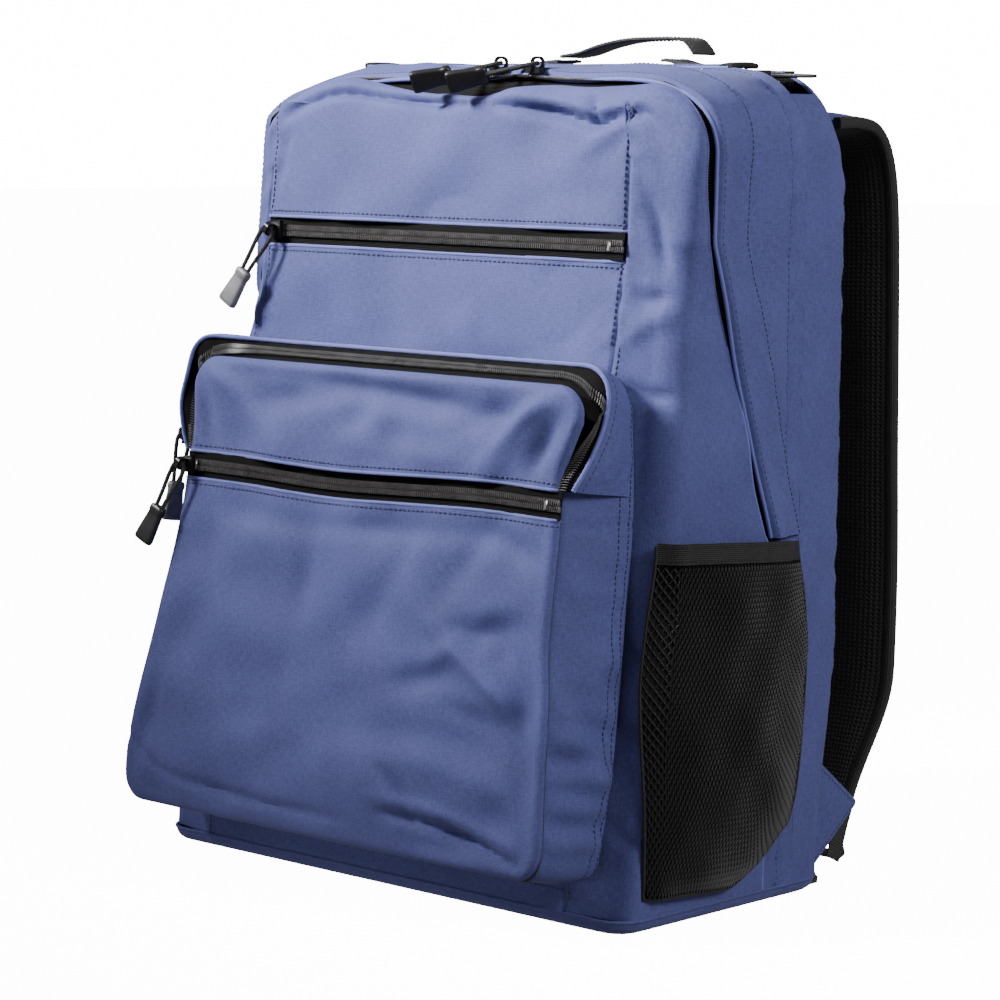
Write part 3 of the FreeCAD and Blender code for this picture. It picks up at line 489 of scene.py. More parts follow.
class Nodes:
    """A material's nodes, made and linked by short calls."""

    def __init__(self, name, colour, roughness, **sockets):
        self.material = bpy.data.materials.new(name)
        self.material.use_nodes = True
        self.tree = self.material.node_tree
        self.shader = self.tree.nodes["Principled BSDF"]
        self.shader.inputs["Base Color"].default_value = (*colour, 1)
        self.shader.inputs["Roughness"].default_value = roughness
        for socket, value in sockets.items():
            self.shader.inputs[socket.replace("_", " ")].default_value = value

    def feed(self, socket, value):
        """Link an input to another node's output, or set its value."""
        if isinstance(value, bpy.types.NodeSocket):
            self.tree.links.new(value, socket)
        else:
            socket.default_value = value

    def node(self, kind, **inputs):
        """A node with its inputs fed by name."""
        made = self.tree.nodes.new("ShaderNode" + kind)
        for name, value in inputs.items():
            self.feed(made.inputs[name.replace("_", " ")], value)
        return made

    def math(self, operation, *values):
        """The result of an operation on values or other nodes' outputs."""
        made = self.tree.nodes.new("ShaderNodeMath")
        made.operation = operation
        for socket, value in zip(made.inputs, values):
            self.feed(socket, value)
        return made.outputs[0]

    def place(self, scale, cloth=True):
        """Coordinates in units of the scale's metres, on the cloth or in space."""
        source = self.node("UVMap").outputs["UV"] if cloth else self.node("TexCoord").outputs["Object"]
        return self.node("Mapping", Vector=source, Scale=tuple(1 / size for size in scale)).outputs[0]

    def noise(self, place, detail=2.0, roughness=0.5):
        """Noise with lumps about one unit across."""
        made = self.node("TexNoise", Vector=place, Scale=1.0, Detail=detail, Roughness=roughness)
        return made.outputs["Fac"]

    def blend(self, factor, low, high):
        """A colour between two colours."""
        mix = self.tree.nodes.new("ShaderNodeMix")
        mix.data_type = "RGBA"
        self.tree.links.new(factor, mix.inputs[0])
        mix.inputs[6].default_value, mix.inputs[7].default_value = (*low, 1), (*high, 1)
        return mix.outputs[2]

    def spread(self, factor, low, high):
        """A factor's range stretched to 0 to 1."""
        return self.node("MapRange", Value=factor, From_Min=low, From_Max=high).outputs[0]

    def colour(self, socket):
        """Give the material its colour."""
        self.tree.links.new(socket, self.shader.inputs["Base Color"])

    def bump(self, height, strength, distance):
        """Give the material its small relief."""
        made = self.node("Bump", Height=height, Strength=strength, Distance=distance)
        self.tree.links.new(made.outputs[0], self.shader.inputs["Normal"])

    def rough(self, socket):
        """Give the material its roughness."""
        self.tree.links.new(socket, self.shader.inputs["Roughness"])

    def weave(self, pitch):
        """Height of a plain weave: two sets of threads that pass over each other in turn."""
        parts = self.node("SeparateXYZ", Vector=self.place((pitch, pitch, pitch)))
        across, along = parts.outputs[0], parts.outputs[1]
        warp = self.math("ABSOLUTE", self.math("SINE", self.math("MULTIPLY", across, math.pi)))
        weft = self.math("ABSOLUTE", self.math("SINE", self.math("MULTIPLY", along, math.pi)))
        cell = self.math("ADD", self.math("FLOOR", across), self.math("FLOOR", along))
        over = self.math("MODULO", self.math("ABSOLUTE", cell), 2.0)
        lift = self.math("MULTIPLY", warp, over)
        under = self.math("MULTIPLY", weft, self.math("SUBTRACT", 1.0, over))
        return self.math("ADD", lift, under)


def shade(colour, factor):
    """A colour made darker or lighter."""
    return tuple(channel * factor for channel in colour)


def woven(name, colour, pitch=0.0008, contrast=0.46, sheen=0.09):
    """Woven polyester: threads, mottled yarn colour, soft patches and a little fuzz."""
    roughness = 0.74
    made = Nodes(name, colour, roughness, Sheen_Weight=sheen, Sheen_Roughness=0.45,
                 Sheen_Tint=(0.75, 0.8, 1.0, 1.0), Specular_IOR_Level=0.3)
    threads = made.weave(pitch)
    yarn = made.noise(made.place((0.0012, 0.0042, 0.002)), 3.0, 0.7)
    cross = made.noise(made.place((0.0045, 0.0011, 0.002)), 3.0, 0.7)
    patches = made.noise(made.place((0.045, 0.045, 0.045)), 2.0)
    mottle = made.spread(made.math("ADD", yarn, cross), 0.7, 1.3)
    tone = made.math("ADD", made.math("MULTIPLY", mottle, 0.62), made.math("MULTIPLY", threads, 0.2))
    tone = made.math("ADD", tone, made.math("MULTIPLY", made.spread(patches, 0.3, 0.7), 0.18))
    made.colour(made.blend(tone, shade(colour, 1 - contrast), shade(colour, 1 + contrast)))
    made.rough(made.math("ADD", roughness - 0.08, made.math("MULTIPLY", mottle, 0.16)))
    made.bump(made.math("ADD", threads, made.math("MULTIPLY", mottle, 0.7)), 0.35, 0.00022)
    return made.material


def ribbed(name, colour, pitch, roughness=0.6, sheen=0.06, across=0, specular=0.35):
    """Webbing or tape: ribs one way, finer threads the other."""
    made = Nodes(name, colour, roughness, Sheen_Weight=sheen, Sheen_Roughness=0.4,
                 Specular_IOR_Level=specular)
    parts = made.node("SeparateXYZ", Vector=made.place((pitch, pitch, pitch)))
    rib = made.math("ABSOLUTE", made.math("SINE", made.math("MULTIPLY", parts.outputs[across], math.pi)))
    fine = made.math("SINE", made.math("MULTIPLY", parts.outputs[1 - across], math.pi * 3.0))
    height = made.math("ADD", rib, made.math("MULTIPLY", fine, 0.25))
    speck = made.noise(made.place((0.0015, 0.0015, 0.0015)), 2.0)
    tone = made.math("ADD", made.math("MULTIPLY", rib, 0.5), made.math("MULTIPLY", speck, 0.5))
    made.colour(made.blend(tone, shade(colour, 0.65), shade(colour, 1.7)))
    made.bump(height, 0.6, 0.0004)
    return made.material


def moulded(name, colour, roughness, grain=0.0006, metallic=0.0):
    """Moulded plastic, rubber or enamelled metal with a fine grain and worn patches."""
    made = Nodes(name, colour, roughness, Metallic=metallic, Specular_IOR_Level=0.45)
    fine = made.noise(made.place((grain, grain, grain), cloth=False), 2.0)
    worn = made.noise(made.place((0.006, 0.006, 0.006), cloth=False), 3.0)
    made.colour(made.blend(made.spread(worn, 0.35, 0.7), shade(colour, 0.85), shade(colour, 1.25)))
    made.rough(made.math("ADD", roughness - 0.07, made.math("MULTIPLY", worn, 0.16)))
    made.bump(fine, 0.18, 0.0002)
    return made.material


def spacer_mesh(name, colour):
    """Padded spacer mesh: rows of small holes in a knit."""
    made = Nodes(name, colour, 0.75, Sheen_Weight=0.14, Sheen_Roughness=0.4)
    cells = made.node("TexVoronoi", Vector=made.place((0.0026, 0.0032, 0.0026)), Scale=1.0, Randomness=0.12)
    hole = made.spread(cells.outputs["Distance"], 0.12, 0.42)
    knit = made.noise(made.place((0.0005, 0.0012, 0.001)), 2.0)
    height = made.math("ADD", hole, made.math("MULTIPLY", knit, 0.3))
    made.colour(made.blend(made.math("MULTIPLY", hole, knit), shade(colour, 0.25), shade(colour, 2.4)))
    made.bump(height, 0.8, 0.0009)
    return made.material


BLUE = (0.072, 0.084, 0.245)
LINING = (0.03, 0.036, 0.075)
blue = woven("blue_cloth", BLUE)
# A lighter copy of the blue cloth for rolled edges and edge cords: a painted highlight.
highlight_blue = woven("blue_painted_highlight", shade(BLUE, 1.75), contrast=0.2, sheen=0.4)
lining = woven("lining_cloth", LINING, pitch=0.0006, contrast=0.25, sheen=0.1)
thread = ribbed("thread_navy", (0.035, 0.042, 0.11), 0.0005, across=0)
black_thread = ribbed("thread_black", (0.03, 0.03, 0.032), 0.0005)
webbing = ribbed("webbing_black", (0.021, 0.021, 0.022), 0.0016)
tape = ribbed("zipper_tape", (0.0036, 0.0033, 0.0035), 0.0009, 0.75, 0.0, across=1, specular=0.12)
binding = ribbed("elastic_binding", (0.013, 0.012, 0.012), 0.0011, across=1)
cord_braid = ribbed("cord_braid", (0.02, 0.02, 0.021), 0.0012)
knit = ribbed("mesh_strand", (0.024, 0.023, 0.023), 0.0011, roughness=0.55, sheen=0.02)
knit_back = woven("mesh_backing", (0.003, 0.003, 0.003), pitch=0.0009, sheen=0.03)
air_mesh = spacer_mesh("air_mesh", (0.009, 0.009, 0.0095))
coil = moulded("zipper_coil", (0.085, 0.082, 0.08), 0.3)
enamel = moulded("slider_enamel", (0.02, 0.02, 0.021), 0.32, metallic=0.6)
black_rubber = moulded("grip_black", (0.013, 0.013, 0.014), 0.36)
grey_rubber = moulded("grip_grey", (0.135, 0.132, 0.14), 0.42)
plastic = moulded("black_plastic", (0.016, 0.016, 0.017), 0.38)
stop_metal = moulded("stop_metal", (0.42, 0.4, 0.37), 0.3, metallic=1.0)
board = moulded("stiffener_plastic", (0.03, 0.03, 0.032), 0.5)

CLOTH = (blue, thread, highlight_blue, lining)


# ---------------------------------------------------------------- camera, light and floor

VIEW_TURN, VIEW_RISE, VIEW_ROLL = math.radians(43.2), math.radians(5.98), math.radians(0.62)
VIEW_DISTANCE = 2.006
PACK_MIDDLE = Vector((0, -0.012, 0.240))
AIM_RIGHT, AIM_UP = 0.0191, -0.0213          # the picture's middle, to the side of and below the pack's
LENS, SENSOR = 123.66, 36.0


def add_camera():
    """The camera, turned and raised about the pack's middle."""
    right = Vector((math.cos(VIEW_TURN), math.sin(VIEW_TURN), 0))
    back = Vector((math.sin(VIEW_TURN) * math.cos(VIEW_RISE), -math.cos(VIEW_TURN) * math.cos(VIEW_RISE),
                   math.sin(VIEW_RISE)))
    up = back.cross(right)
    cos_roll, sin_roll = math.cos(VIEW_ROLL), math.sin(VIEW_ROLL)
    right, up = right * cos_roll + up * sin_roll, up * cos_roll - right * sin_roll
    stand = PACK_MIDDLE + back * VIEW_DISTANCE
    away = (stand - PACK_MIDDLE - right * AIM_RIGHT - up * AIM_UP).normalized()
    side = up.cross(away).normalized()
    turn = Matrix((side, away.cross(side), away)).transposed().to_4x4()
    camera = add_object("camera", bpy.data.cameras.new("camera"))
    camera.data.lens, camera.data.sensor_width = LENS, SENSOR
    camera.matrix_world = Matrix.Translation(stand) @ turn
    bpy.context.scene.camera = camera


def area_light(name, place, size, power, target, spread):
    """A soft box at a place, aimed at another, with its beam's spread in degrees."""
    light = bpy.data.lights.new(name, "AREA")
    light.shape, light.size, light.energy = "DISK", size, power
    light.spread = math.radians(spread)
    made = add_object(name, light)
    made.location = place
    made.rotation_euler = (Vector(target) - Vector(place)).to_track_quat("-Z", "Y").to_euler()


PAPER_GLOW, SEEN_GLOW, FILL_GLOW = 14.0, 16.0, 0.25   # the paper, the camera's view past it, and the fill
FILL_TINT = (1, 0.93, 0.96)
FLOOR_REACH = 12.0
LIGHTS = [
    # name, place, size, power, target and spread
    ("key", (-0.95, -1.05, 1.4), 0.5, 4.65, (-0.04, -0.05, 0.58), 31.5),
    ("side", (2.1, 0.1, 1.5), 1.0, 3.4, (0.15, 0, 0.44), 46),
    ("low", (-0.25, -1.65, 0.14), 0.3, 0.045, (0.0, 0.0, 0.0), 14),
]


def add_stage():
    """White paper under and behind the pack, a faint fill from all round, and three soft boxes."""
    paper = Nodes("floor_paper", (0.86, 0.86, 0.87), 0.9)
    speckle = paper.noise(paper.place((0.02, 0.02, 0.02), cloth=False))
    paper.colour(paper.blend(speckle, (0.85, 0.85, 0.86), (0.88, 0.88, 0.89)))
    paper.shader.inputs["Emission Color"].default_value = (1, 1, 1, 1)
    paper.shader.inputs["Emission Strength"].default_value = PAPER_GLOW
    mesh = bpy.data.meshes.new("floor")
    edges = (-1, -1), (1, -1), (1, 1), (-1, 1)
    mesh.from_pydata([(x * FLOOR_REACH, y * FLOOR_REACH, 0) for x, y in edges], [], [(0, 1, 2, 3)])
    mesh.materials.append(paper.material)
    floor = add_object("floor", mesh)
    floor.visible_diffuse = floor.visible_glossy = False
    world = bpy.data.worlds.new("studio")
    world.use_nodes = True
    tree = world.node_tree
    seen, fill = tree.nodes["Background"], tree.nodes.new("ShaderNodeBackground")
    seen.inputs["Color"].default_value, seen.inputs["Strength"].default_value = (1, 1, 1, 1), SEEN_GLOW
    fill.inputs["Color"].default_value, fill.inputs["Strength"].default_value = (*FILL_TINT, 1), FILL_GLOW
    mix, ray = tree.nodes.new("ShaderNodeMixShader"), tree.nodes.new("ShaderNodeLightPath")
    tree.links.new(ray.outputs["Is Camera Ray"], mix.inputs[0])
    tree.links.new(fill.outputs[0], mix.inputs[1])
    tree.links.new(seen.outputs[0], mix.inputs[2])
    tree.links.new(mix.outputs[0], tree.nodes["World Output"].inputs["Surface"])
    bpy.context.scene.world = world
    for light in LIGHTS:
        area_light(*light)


add_camera()
add_stage()


# ---------------------------------------------------------------- zippers

TOOTH = 1.5                                  # pitch of the coil's turns
TOOTH_SIZE = (3.9, 0.95, 2.3)                # a turn's length across, thickness and height
ROW_OUT, SEWING_OUT = 1.75, 3.3              # a row of turns and its sewing, from the middle
SEWING_RADIUS = 0.55
INK_COIL, INK_STOP = 1, 2
TAPE_THICK = 0.8


def teeth(piece, places, side, normal):
    """A row of the coil's turns."""
    piece.grains(places, unit(side), unit(normal), TOOTH_SIZE, INK_COIL)


def sewing_cord(piece, centre, side, normal, row):
    """The raised cord of the sewing that holds a row of turns."""
    piece.cord(centre + side * row * SEWING_OUT + normal * 0.5, SEWING_RADIUS, 0, 6)


def zipper(piece, line, across, out, half=8.0):
    """A coil zipper along a line: its tape, and two rows of turns that mesh."""
    spans = np.linspace(-half, half, max(3, int(2 * half / 1.6) + 1))
    grid = line[:, None] + across[:, None] * spans[None, :, None]
    faces_out = unit(np.cross(across, np.gradient(line, axis=0)))
    flip = np.sign(np.sum(faces_out * out, axis=1, keepdims=True))
    piece.cloth(grid, TAPE_THICK, away=line.mean(0) - (faces_out * flip).mean(0) * 40)
    centre, side, normal = resample(line, TOOTH, across, out)
    side, normal = unit(side), unit(normal)
    for row in (-1, 1):
        places = centre + side * row * ROW_OUT + normal
        if row > 0:
            places = places[:-1] + (places[1:] - places[:-1]) / 2
        teeth(piece, places, side[:len(places)], normal[:len(places)])
        sewing_cord(piece, centre, side, normal, row)


def straight_zipper(name, half_length, proud, height, body, node):
    """A zipper along X at a height up the leaning face, with a metal stop near each end."""
    piece = Piece(name, tape, coil, stop_metal)
    x = spaced(-half_length, half_length, 3.0)
    line = lean(x, proud - 1.2, height(x))
    out = repeated(OUT_OF_FACE, len(x))
    ahead = unit(np.gradient(line, axis=0))
    zipper(piece, line, unit(np.cross(out, ahead)), out)
    for end in (3, -4):
        stop = line[[end]] + out[[end]] * 1.6
        piece.grains(stop, np.cross(out, ahead)[[end]], out[[end]], (7, 2.2, 3), INK_STOP)
    piece.make(body, "zipper_black", node)


# ---------------------------------------------------------------- the body's front section

FRONT_FOLDS = [
    # each fold's line, depth and width: first the lip where the top gusset folds over the front panel,
    # then on round the right shoulder and down the corner
    (((-131, -31, 440), (-104, -30, 450), (-72, -29, 454), (-30, -29, 450), (14, -30, 448)), -5.5, 3.0),
    (((-128, -31, 447), (-104, -30, 457), (-72, -29, 461), (-30, -29, 457), (14, -30, 454)), 2.2, 4.0),
    (((40, -30, 448), (84, -31, 444), (112, -32, 438), (128, -32, 442), (144, -31, 444)), -6.0, 3.0),
    (((44, -30, 455), (84, -31, 451), (112, -32, 446), (128, -32, 449), (144, -31, 450)), 2.8, 4.0),
    (((106, -31, 458), (112, -31, 448), (114, -32, 438)), -3.0, 3.0),
    (((144, -30, 447), (156, -28, 439), (166, -27, 422), (170, -28, 398)), -6.0, 3.2),
    (((138, -30, 440), (149, -30, 430), (157, -30, 418), (161, -30, 396)), 2.4, 4.5),
    (((150, -33, 404), (158, -34, 390), (164, -36, 372), (170, -38, 358)), -4.0, 4.5),
    (((144, -35, 352), (156, -38, 344), (170, -34, 346)), -3.0, 4.5),
    (((146, -40, 322), (158, -43, 330), (172, -34, 336)), 2.6, 6.0),
    (((150, -45, 296), (163, -45, 292), (176, -38, 292)), -3.4, 3.4),
    (((152, -50, 262), (163, -50, 270), (178, -40, 282)), 2.2, 7.0),
    (((160, -60, 158), (172, -60, 150), (184, -52, 152)), -4.5, 4.0),
    (((160, -66, 120), (172, -66, 110), (183, -58, 112)), -4.5, 4.0),
    (((164, -74, 62), (174, -74, 52), (184, -66, 54)), -3.6, 3.6),
    (((106, -36, 424), (126, -34, 434), (136, -33, 438)), 2.6, 6.0),
    (((40, -40, 372), (86, -42, 352), (120, -46, 322)), -1.2, 14.0),
    (((60, -38, 388), (100, -36, 400), (134, -35, 396)), -1.0, 10.0),
    (((-128, -33, 430), (-133, -34, 410), (-138, -37, 385)), -1.6, 3.0),
    (((-150, front_y(25), 25), (-60, front_y(19), 19), (60, front_y(22), 22), (150, front_y(17), 17)),
     -2.6, 3.0),
    (((-150, front_y(33), 33), (-40, front_y(28), 28), (150, front_y(26), 26)), 2.4, 4.0),
]
SIDE_FOLDS = FRONT_FOLDS[5:12]               # the right corner's, which the left corner has too


def front_shape(grid):
    """How far soft lumps and folds move the front section's cloth, clear of the pocket's lining."""
    mirrored = [(tuple((-x, y, z) for x, y, z in line), depth, width) for line, depth, width in SIDE_FOLDS]
    soft = 2.0 * rough(grid, 95, 3) + 1.1 * rough(grid, 40, 4, (1, 1, 0.6))
    moved = soft * ramp(grid[..., 2], 0, 40) + creases(grid, FRONT_FOLDS + mirrored)
    x, z = np.abs(grid[..., 0]), grid[..., 2]
    pocketed = ramp(z, 280, 316) * (1 - ramp(z, 392, 408)) * (1 - ramp(x, 130, 142))
    return np.maximum(moved, -1.3 - 9.0 * (1 - pocketed))


def front_gusset(word, side):
    """One side of the front section below the fold, from the front panel's seam to the zipper."""
    hs = side * (down_to(0, FRONT_TOP) - fine_ends(BASE_EDGE, FOLD, 3.0))
    grid = front_skin(hs, fine_shares(85, 2.6))
    grid = raised(grid, front_shape(grid) + seams(grid, ["left"], 6))
    piece = Piece("lower_side_" + word, *CLOTH)
    out = piece.lined(grid)
    seam_line(piece, grid, out, "left", 3.2)
    hem(piece, grid, out, "right")
    piece.make("pack", "blue_fabric", "lower_gusset_" + word)


def fine_shares(length, step):
    """Shares of a sheet's width, closer together near both edges."""
    return fine_ends(0, length, step) / length


def seam_line(piece, grid, out, edge, distance, ink=INK_THREAD, sewing=PLAIN_SEWING):
    """A row of stitches a distance inside a sheet's edge."""
    line, normals = inset_line(grid, out, distance, edge)
    piece.stitches(line + normals * 0.1, normals, ink, sewing)


def hem(piece, grid, out, edge, radius=1.1, ink=INK_HIGHLIGHT, sink=0.5):
    """A rolled edge of the cloth, in the lighter blue unless another material is given: a painted highlight
    along the edge.
    """
    line, normals = inset_line(grid, out, 0.0, edge)
    piece.cord(line - normals * sink, radius, ink)


def make_front():
    """The front panel with the upper zipper's slot in it, and the gusset round it."""
    for word, side in SIDES:
        front_gusset(word, side)
    make_upper_gusset()
    lower = Piece("lower_front", *CLOTH)
    grid, out = front_panel(lower, fine_ends(BASE_EDGE, FOLD, 5.0))
    seam_line(lower, grid, out, "left", 13.0)
    lower.make("pack", "blue_fabric", "lower_front_panel")
    upper = Piece("upper_front", *CLOTH)
    for bottom, top, hem_edge in ((FOLD, UPPER_ZIP - SLOT_HALF, "right"),
                                  (UPPER_ZIP + SLOT_HALF, PANEL_TOP, "left")):
        grid, out = front_panel(upper, fine_ends(bottom, top, 2.4))
        hem(upper, grid, out, hem_edge)
        seam_line(upper, grid, out, hem_edge, 3.2, sewing=BOLD_SEWING)
        for edge in ("first", "last"):
            seam_line(upper, grid, out, edge, 2.6, sewing=PANEL_SEWING)
    upper.make("front_flap", "blue_fabric", "upper_front_panel")


def front_panel(piece, z):
    """A stretch of the front panel, as wide as it is."""
    x, up = np.meshgrid(fine_ends(-PANEL_HALF, PANEL_HALF, 3.0), z, indexing="ij")
    grid = np.stack([x, front_y(up), up], -1)
    grid = raised(grid, front_shape(grid) + seams(grid, ["first", "last"], 7))
    return grid, piece.lined(grid)


def upper_gusset_blend(made):
    """Bake the object's placement into its mesh."""
    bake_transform(made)


def make_upper_gusset():
    """The gusset round the flap, with its half of the main zipper's chain."""
    reach = down_to(FOLD, FRONT_TOP)
    hs = fine_ends(-reach, reach, 2.4)
    grid = front_skin(hs, fine_shares(60, 2.0))
    top = 1 - ramp(grid[..., 2], 430, 440)
    grid = raised(grid, front_shape(grid) + seams(grid, ["left"], 6) * top)
    piece = Piece("upper_gusset", *CLOTH)
    out = piece.lined(grid)
    hem(piece, grid, out, "right", 0.9, 0)
    upper_gusset_blend(piece.make(None, "blue_fabric", "upper_front_gusset"))
    chain = Piece("flap_zipper", tape, coil)
    half_chain(chain, grid[:, -1] - out[:, -1] * 1.2, hs + np.sign(hs) * (HEIGHT - FRONT_TOP), -1)
    upper_gusset_blend(chain.make(None, "zipper_black", "flap_zip_chain"))


def main_zip_path(hs):
    """The main zipper's line, its way out of the pack, and its way back across."""
    x, z, nx, nz = hoop(hs, HEIGHT)
    line = tucked(np.stack([x - nx * ZIP_SUNK, zip_line(z), z - nz * ZIP_SUNK], 1))
    out = np.stack([nx, 0 * nx, nz], 1)
    across = unit(np.cross(np.gradient(line, axis=0), out))
    return line, out, across * np.sign(across[:, 1:2])


def half_chain(piece, edge, hs, row):
    """Half of the main zipper: tape from a cloth edge to the coil, and one row of the coil."""
    line, out, across = main_zip_path(hs)
    shares = np.linspace(0, 1, 5)[None, :, None]
    grid = edge[:, None] * (1 - shares) + line[:, None] * shares
    piece.cloth(grid, TAPE_THICK)
    centre, side, normal = resample(line, TOOTH, across, out)
    teeth(piece, centre + unit(side) * row * ROW_OUT + normal, side, normal)
    sewing_cord(piece, centre, side, normal, row)


make_front()
straight_zipper("upper_zipper", PANEL_HALF - 0.5, 0, lambda x: UPPER_ZIP / math.cos(LEAN),
                "front_flap", "upper_zip_chain")


# ---------------------------------------------------------------- the body behind the zipper

SLOT_LOW, SLOT_HIGH = corners("rear_zip_chain")[0][1] - 0.5, corners("rear_zip_chain")[1][1] + 0.5
SLOT_REACH = 176.0                           # how far along the arch the rear zipper's slot runs
DIVIDER_SEAM = SPLIT - 1.0


def shell_shape(grid, share, seed):
    """Packed fullness between the seams, soft lumps and the small folds of a standing bag."""
    soft = 1.5 * rough(grid, 110, seed) + 0.7 * rough(grid, 38, seed + 1, (1, 1, 0.45))
    fade = ramp(grid[..., 2], 8, 60)
    return (2.6 * np.sin(np.pi * share) + soft * np.sin(np.pi * share) ** 0.5) * fade


def shell_sheet(piece, hs, y_start, y_end, seed, seam_edges=(), full=True):
    """A strip of the shell between two lines. Each line is Y for each place on the arch."""
    width = float(np.mean(y_end - y_start))
    shares = fine_shares(width, 3.6) if width > 14 else np.linspace(0, 1, 5)
    ys = y_start[:, None] * (1 - shares) + y_end[:, None] * shares
    grid = shell_skin(hs, ys)
    share = np.broadcast_to(shares, grid.shape[:2])
    shape = shell_shape(grid, share, seed) if full else 0
    grid = raised(grid, shape + seams(grid, seam_edges, seed + 2))
    return grid, piece.lined(grid)


def make_main_side(hs, z):
    """The side and top between the main zipper and the divider's seam."""
    piece = Piece("main_side", *CLOTH)
    start = zip_line(z) + 3.0 * ramp(z, ZIP_END - 8, ZIP_END + 4)
    grid, out = shell_sheet(piece, hs, start, np.full_like(hs, DIVIDER_SEAM), 21, ["right"])
    seam_line(piece, grid, out, "right", 3.0, sewing=SHELL_SEWING)
    piece.make("pack", "blue_fabric", "main_gusset")


def make_main_chain(hs):
    """The rear half of the main zipper's chain, and its front half below the flap's fold."""
    piece = Piece("main_zipper", tape, coil)
    line, out, across = main_zip_path(hs)
    half_chain(piece, line + across * 9.0 + out * 1.5, hs, 1)
    for side in (-1, 1):
        low_hs = side * np.linspace(down_to(FOLD, HEIGHT), down_to(ZIP_END, HEIGHT), 30)
        edge = front_skin(low_hs - side * (HEIGHT - FRONT_TOP), [1.0])[:, 0]
        half_chain(piece, edge - np.array((side * 1.2, 0, 0)), low_hs, -1)
    piece.make("pack", "zipper_black", "main_zip_chain")


def make_rear_side(hs, reach):
    """The side and top behind the divider's seam, with the rear zipper's slot in the top."""
    piece = Piece("rear_side", *CLOTH)
    low, high = np.full_like(hs, SLOT_LOW), np.full_like(hs, SLOT_HIGH)
    last = BACK - rear_round(hs) + rear_round(hs) * np.pi / 2
    shell_sheet(piece, hs, np.full_like(hs, DIVIDER_SEAM), low, 31, ["left"], full=False)
    grid, out = shell_sheet(piece, hs, high, last, 31, ["right"], full=False)
    hem(piece, grid, out, "right", 1.6, 0, 1.0)
    seam_line(piece, grid, out, "right", 7.0, sewing=SHELL_SEWING)
    for side in (-1, 1):
        beyond = side * np.linspace(SLOT_REACH, reach, 100)
        shell_sheet(piece, beyond, low[:100], high[:100], 31, full=False)
    piece.make("pack", "blue_fabric", "rear_gusset")


def make_shell():
    """The side and top behind the main zipper, that zipper's chain, and the cover over it."""
    reach = down_to(BASE_EDGE, HEIGHT)
    hs = fine_ends(-reach, reach, 4.2)
    z = hoop(hs, HEIGHT)[1]
    make_main_side(hs, z)
    make_main_chain(hs[z > ZIP_END])
    make_storm_flap(hs[np.abs(hs) < down_to(ZIP_END - 1, HEIGHT)])
    make_rear_side(hs, reach)


def make_storm_flap(hs):
    """The cover over the main zipper, sewn to the gusset behind it, with a folded front edge."""
    zip_y = zip_line(hoop(hs, HEIGHT)[1])[:, None]
    width = 28.0
    shares = fine_shares(width, 3.4)
    ys = zip_y - 2.2 + 1.2 * np.sin(hs[:, None] / 31.0) + shares * width
    grid = shell_skin(hs, ys)
    lift = 2.6 + 2.6 * bump(shares * width, 0.1 * width, 7) - 3.0 * bump(shares * width, 0, 1.6)
    lumps = 0.8 * rough(grid, 60, 41)
    share = np.clip((ys - zip_y) / (SPLIT - zip_y), 0, 1)
    body = shell_shape(grid, share, 21)
    grid = raised(grid, body + lift + lumps * (1 - shares) + seams(grid, ["right"], 42, 0.9, 0.4))
    piece = Piece("storm_flap", *CLOTH)
    out = piece.cloth(grid, 1.5)
    # The folded front edge is in the lighter blue, a painted highlight.
    hem(piece, grid, out, "left", 1.2, INK_HIGHLIGHT, 0.4)
    seam_line(piece, grid, out, "right", 2.4)
    seam_line(piece, grid, out, "left", 5.0, sewing=COVER_SEWING)
    piece.make("pack", "blue_fabric", "storm_flap")


def rounded_outline(inset, front_radius, rear_radius):
    """The base's outline, this far inside its edge, anticlockwise from the front's left end."""
    left, right = -HALF + inset, HALF - inset
    near, far = front_y(BASE_EDGE) + inset, BACK - inset
    points = []
    for x, y, radius, start in ((left, near, front_radius, 180), (right, near, front_radius, 270),
                                (right, far, rear_radius, 0), (left, far, rear_radius, 90)):
        radius = max(radius - inset, 1.0)
        middle = (x - math.copysign(radius, x), y + (radius if y == near else -radius))
        for turn in np.radians(np.linspace(start, start + 90, 13)):
            points.append((middle[0] + radius * math.cos(turn), middle[1] + radius * math.sin(turn)))
    return resample(np.array(points + points[:1]), 6.0)[0]


def make_base():
    """The base, whose edge turns up all round."""
    rear_radius = rear_round(down_to(BASE_EDGE, HEIGHT))
    count = len(rounded_outline(0, 18, rear_radius))
    rows = []
    for turn in np.linspace(0, np.pi / 2, 7):
        loop = same_count(rounded_outline(BASE_EDGE * (1 - math.cos(turn)), 18, rear_radius), count)
        rows.append(np.column_stack([loop, np.full(count, max(BASE_EDGE * (1 - math.sin(turn)), 0.05))]))
    foot = rows[-1]
    rows += [foot.mean(0) + (foot - foot.mean(0)) * share for share in (0.97, 0.9, 0.75, 0.5, 0.25, 0.03)]
    grid = np.array(rows).transpose(1, 0, 2)
    piece = Piece("base", *CLOTH)
    out = piece.lined(grid)
    hem(piece, grid, out, "left", 1.0, 0, 0.2)
    piece.make("pack", "blue_fabric", "base_panel")


def back_half(z):
    """Half the back panel's width at a height: inside the rounded rear corners."""
    radius = rear_round(down_to(z, HEIGHT))
    bend = np.clip(z - (HEIGHT - SHOULDER), 0, SHOULDER - radius - 0.5)
    return HALF - SHOULDER + np.sqrt((SHOULDER - radius) ** 2 - bend ** 2) + 3


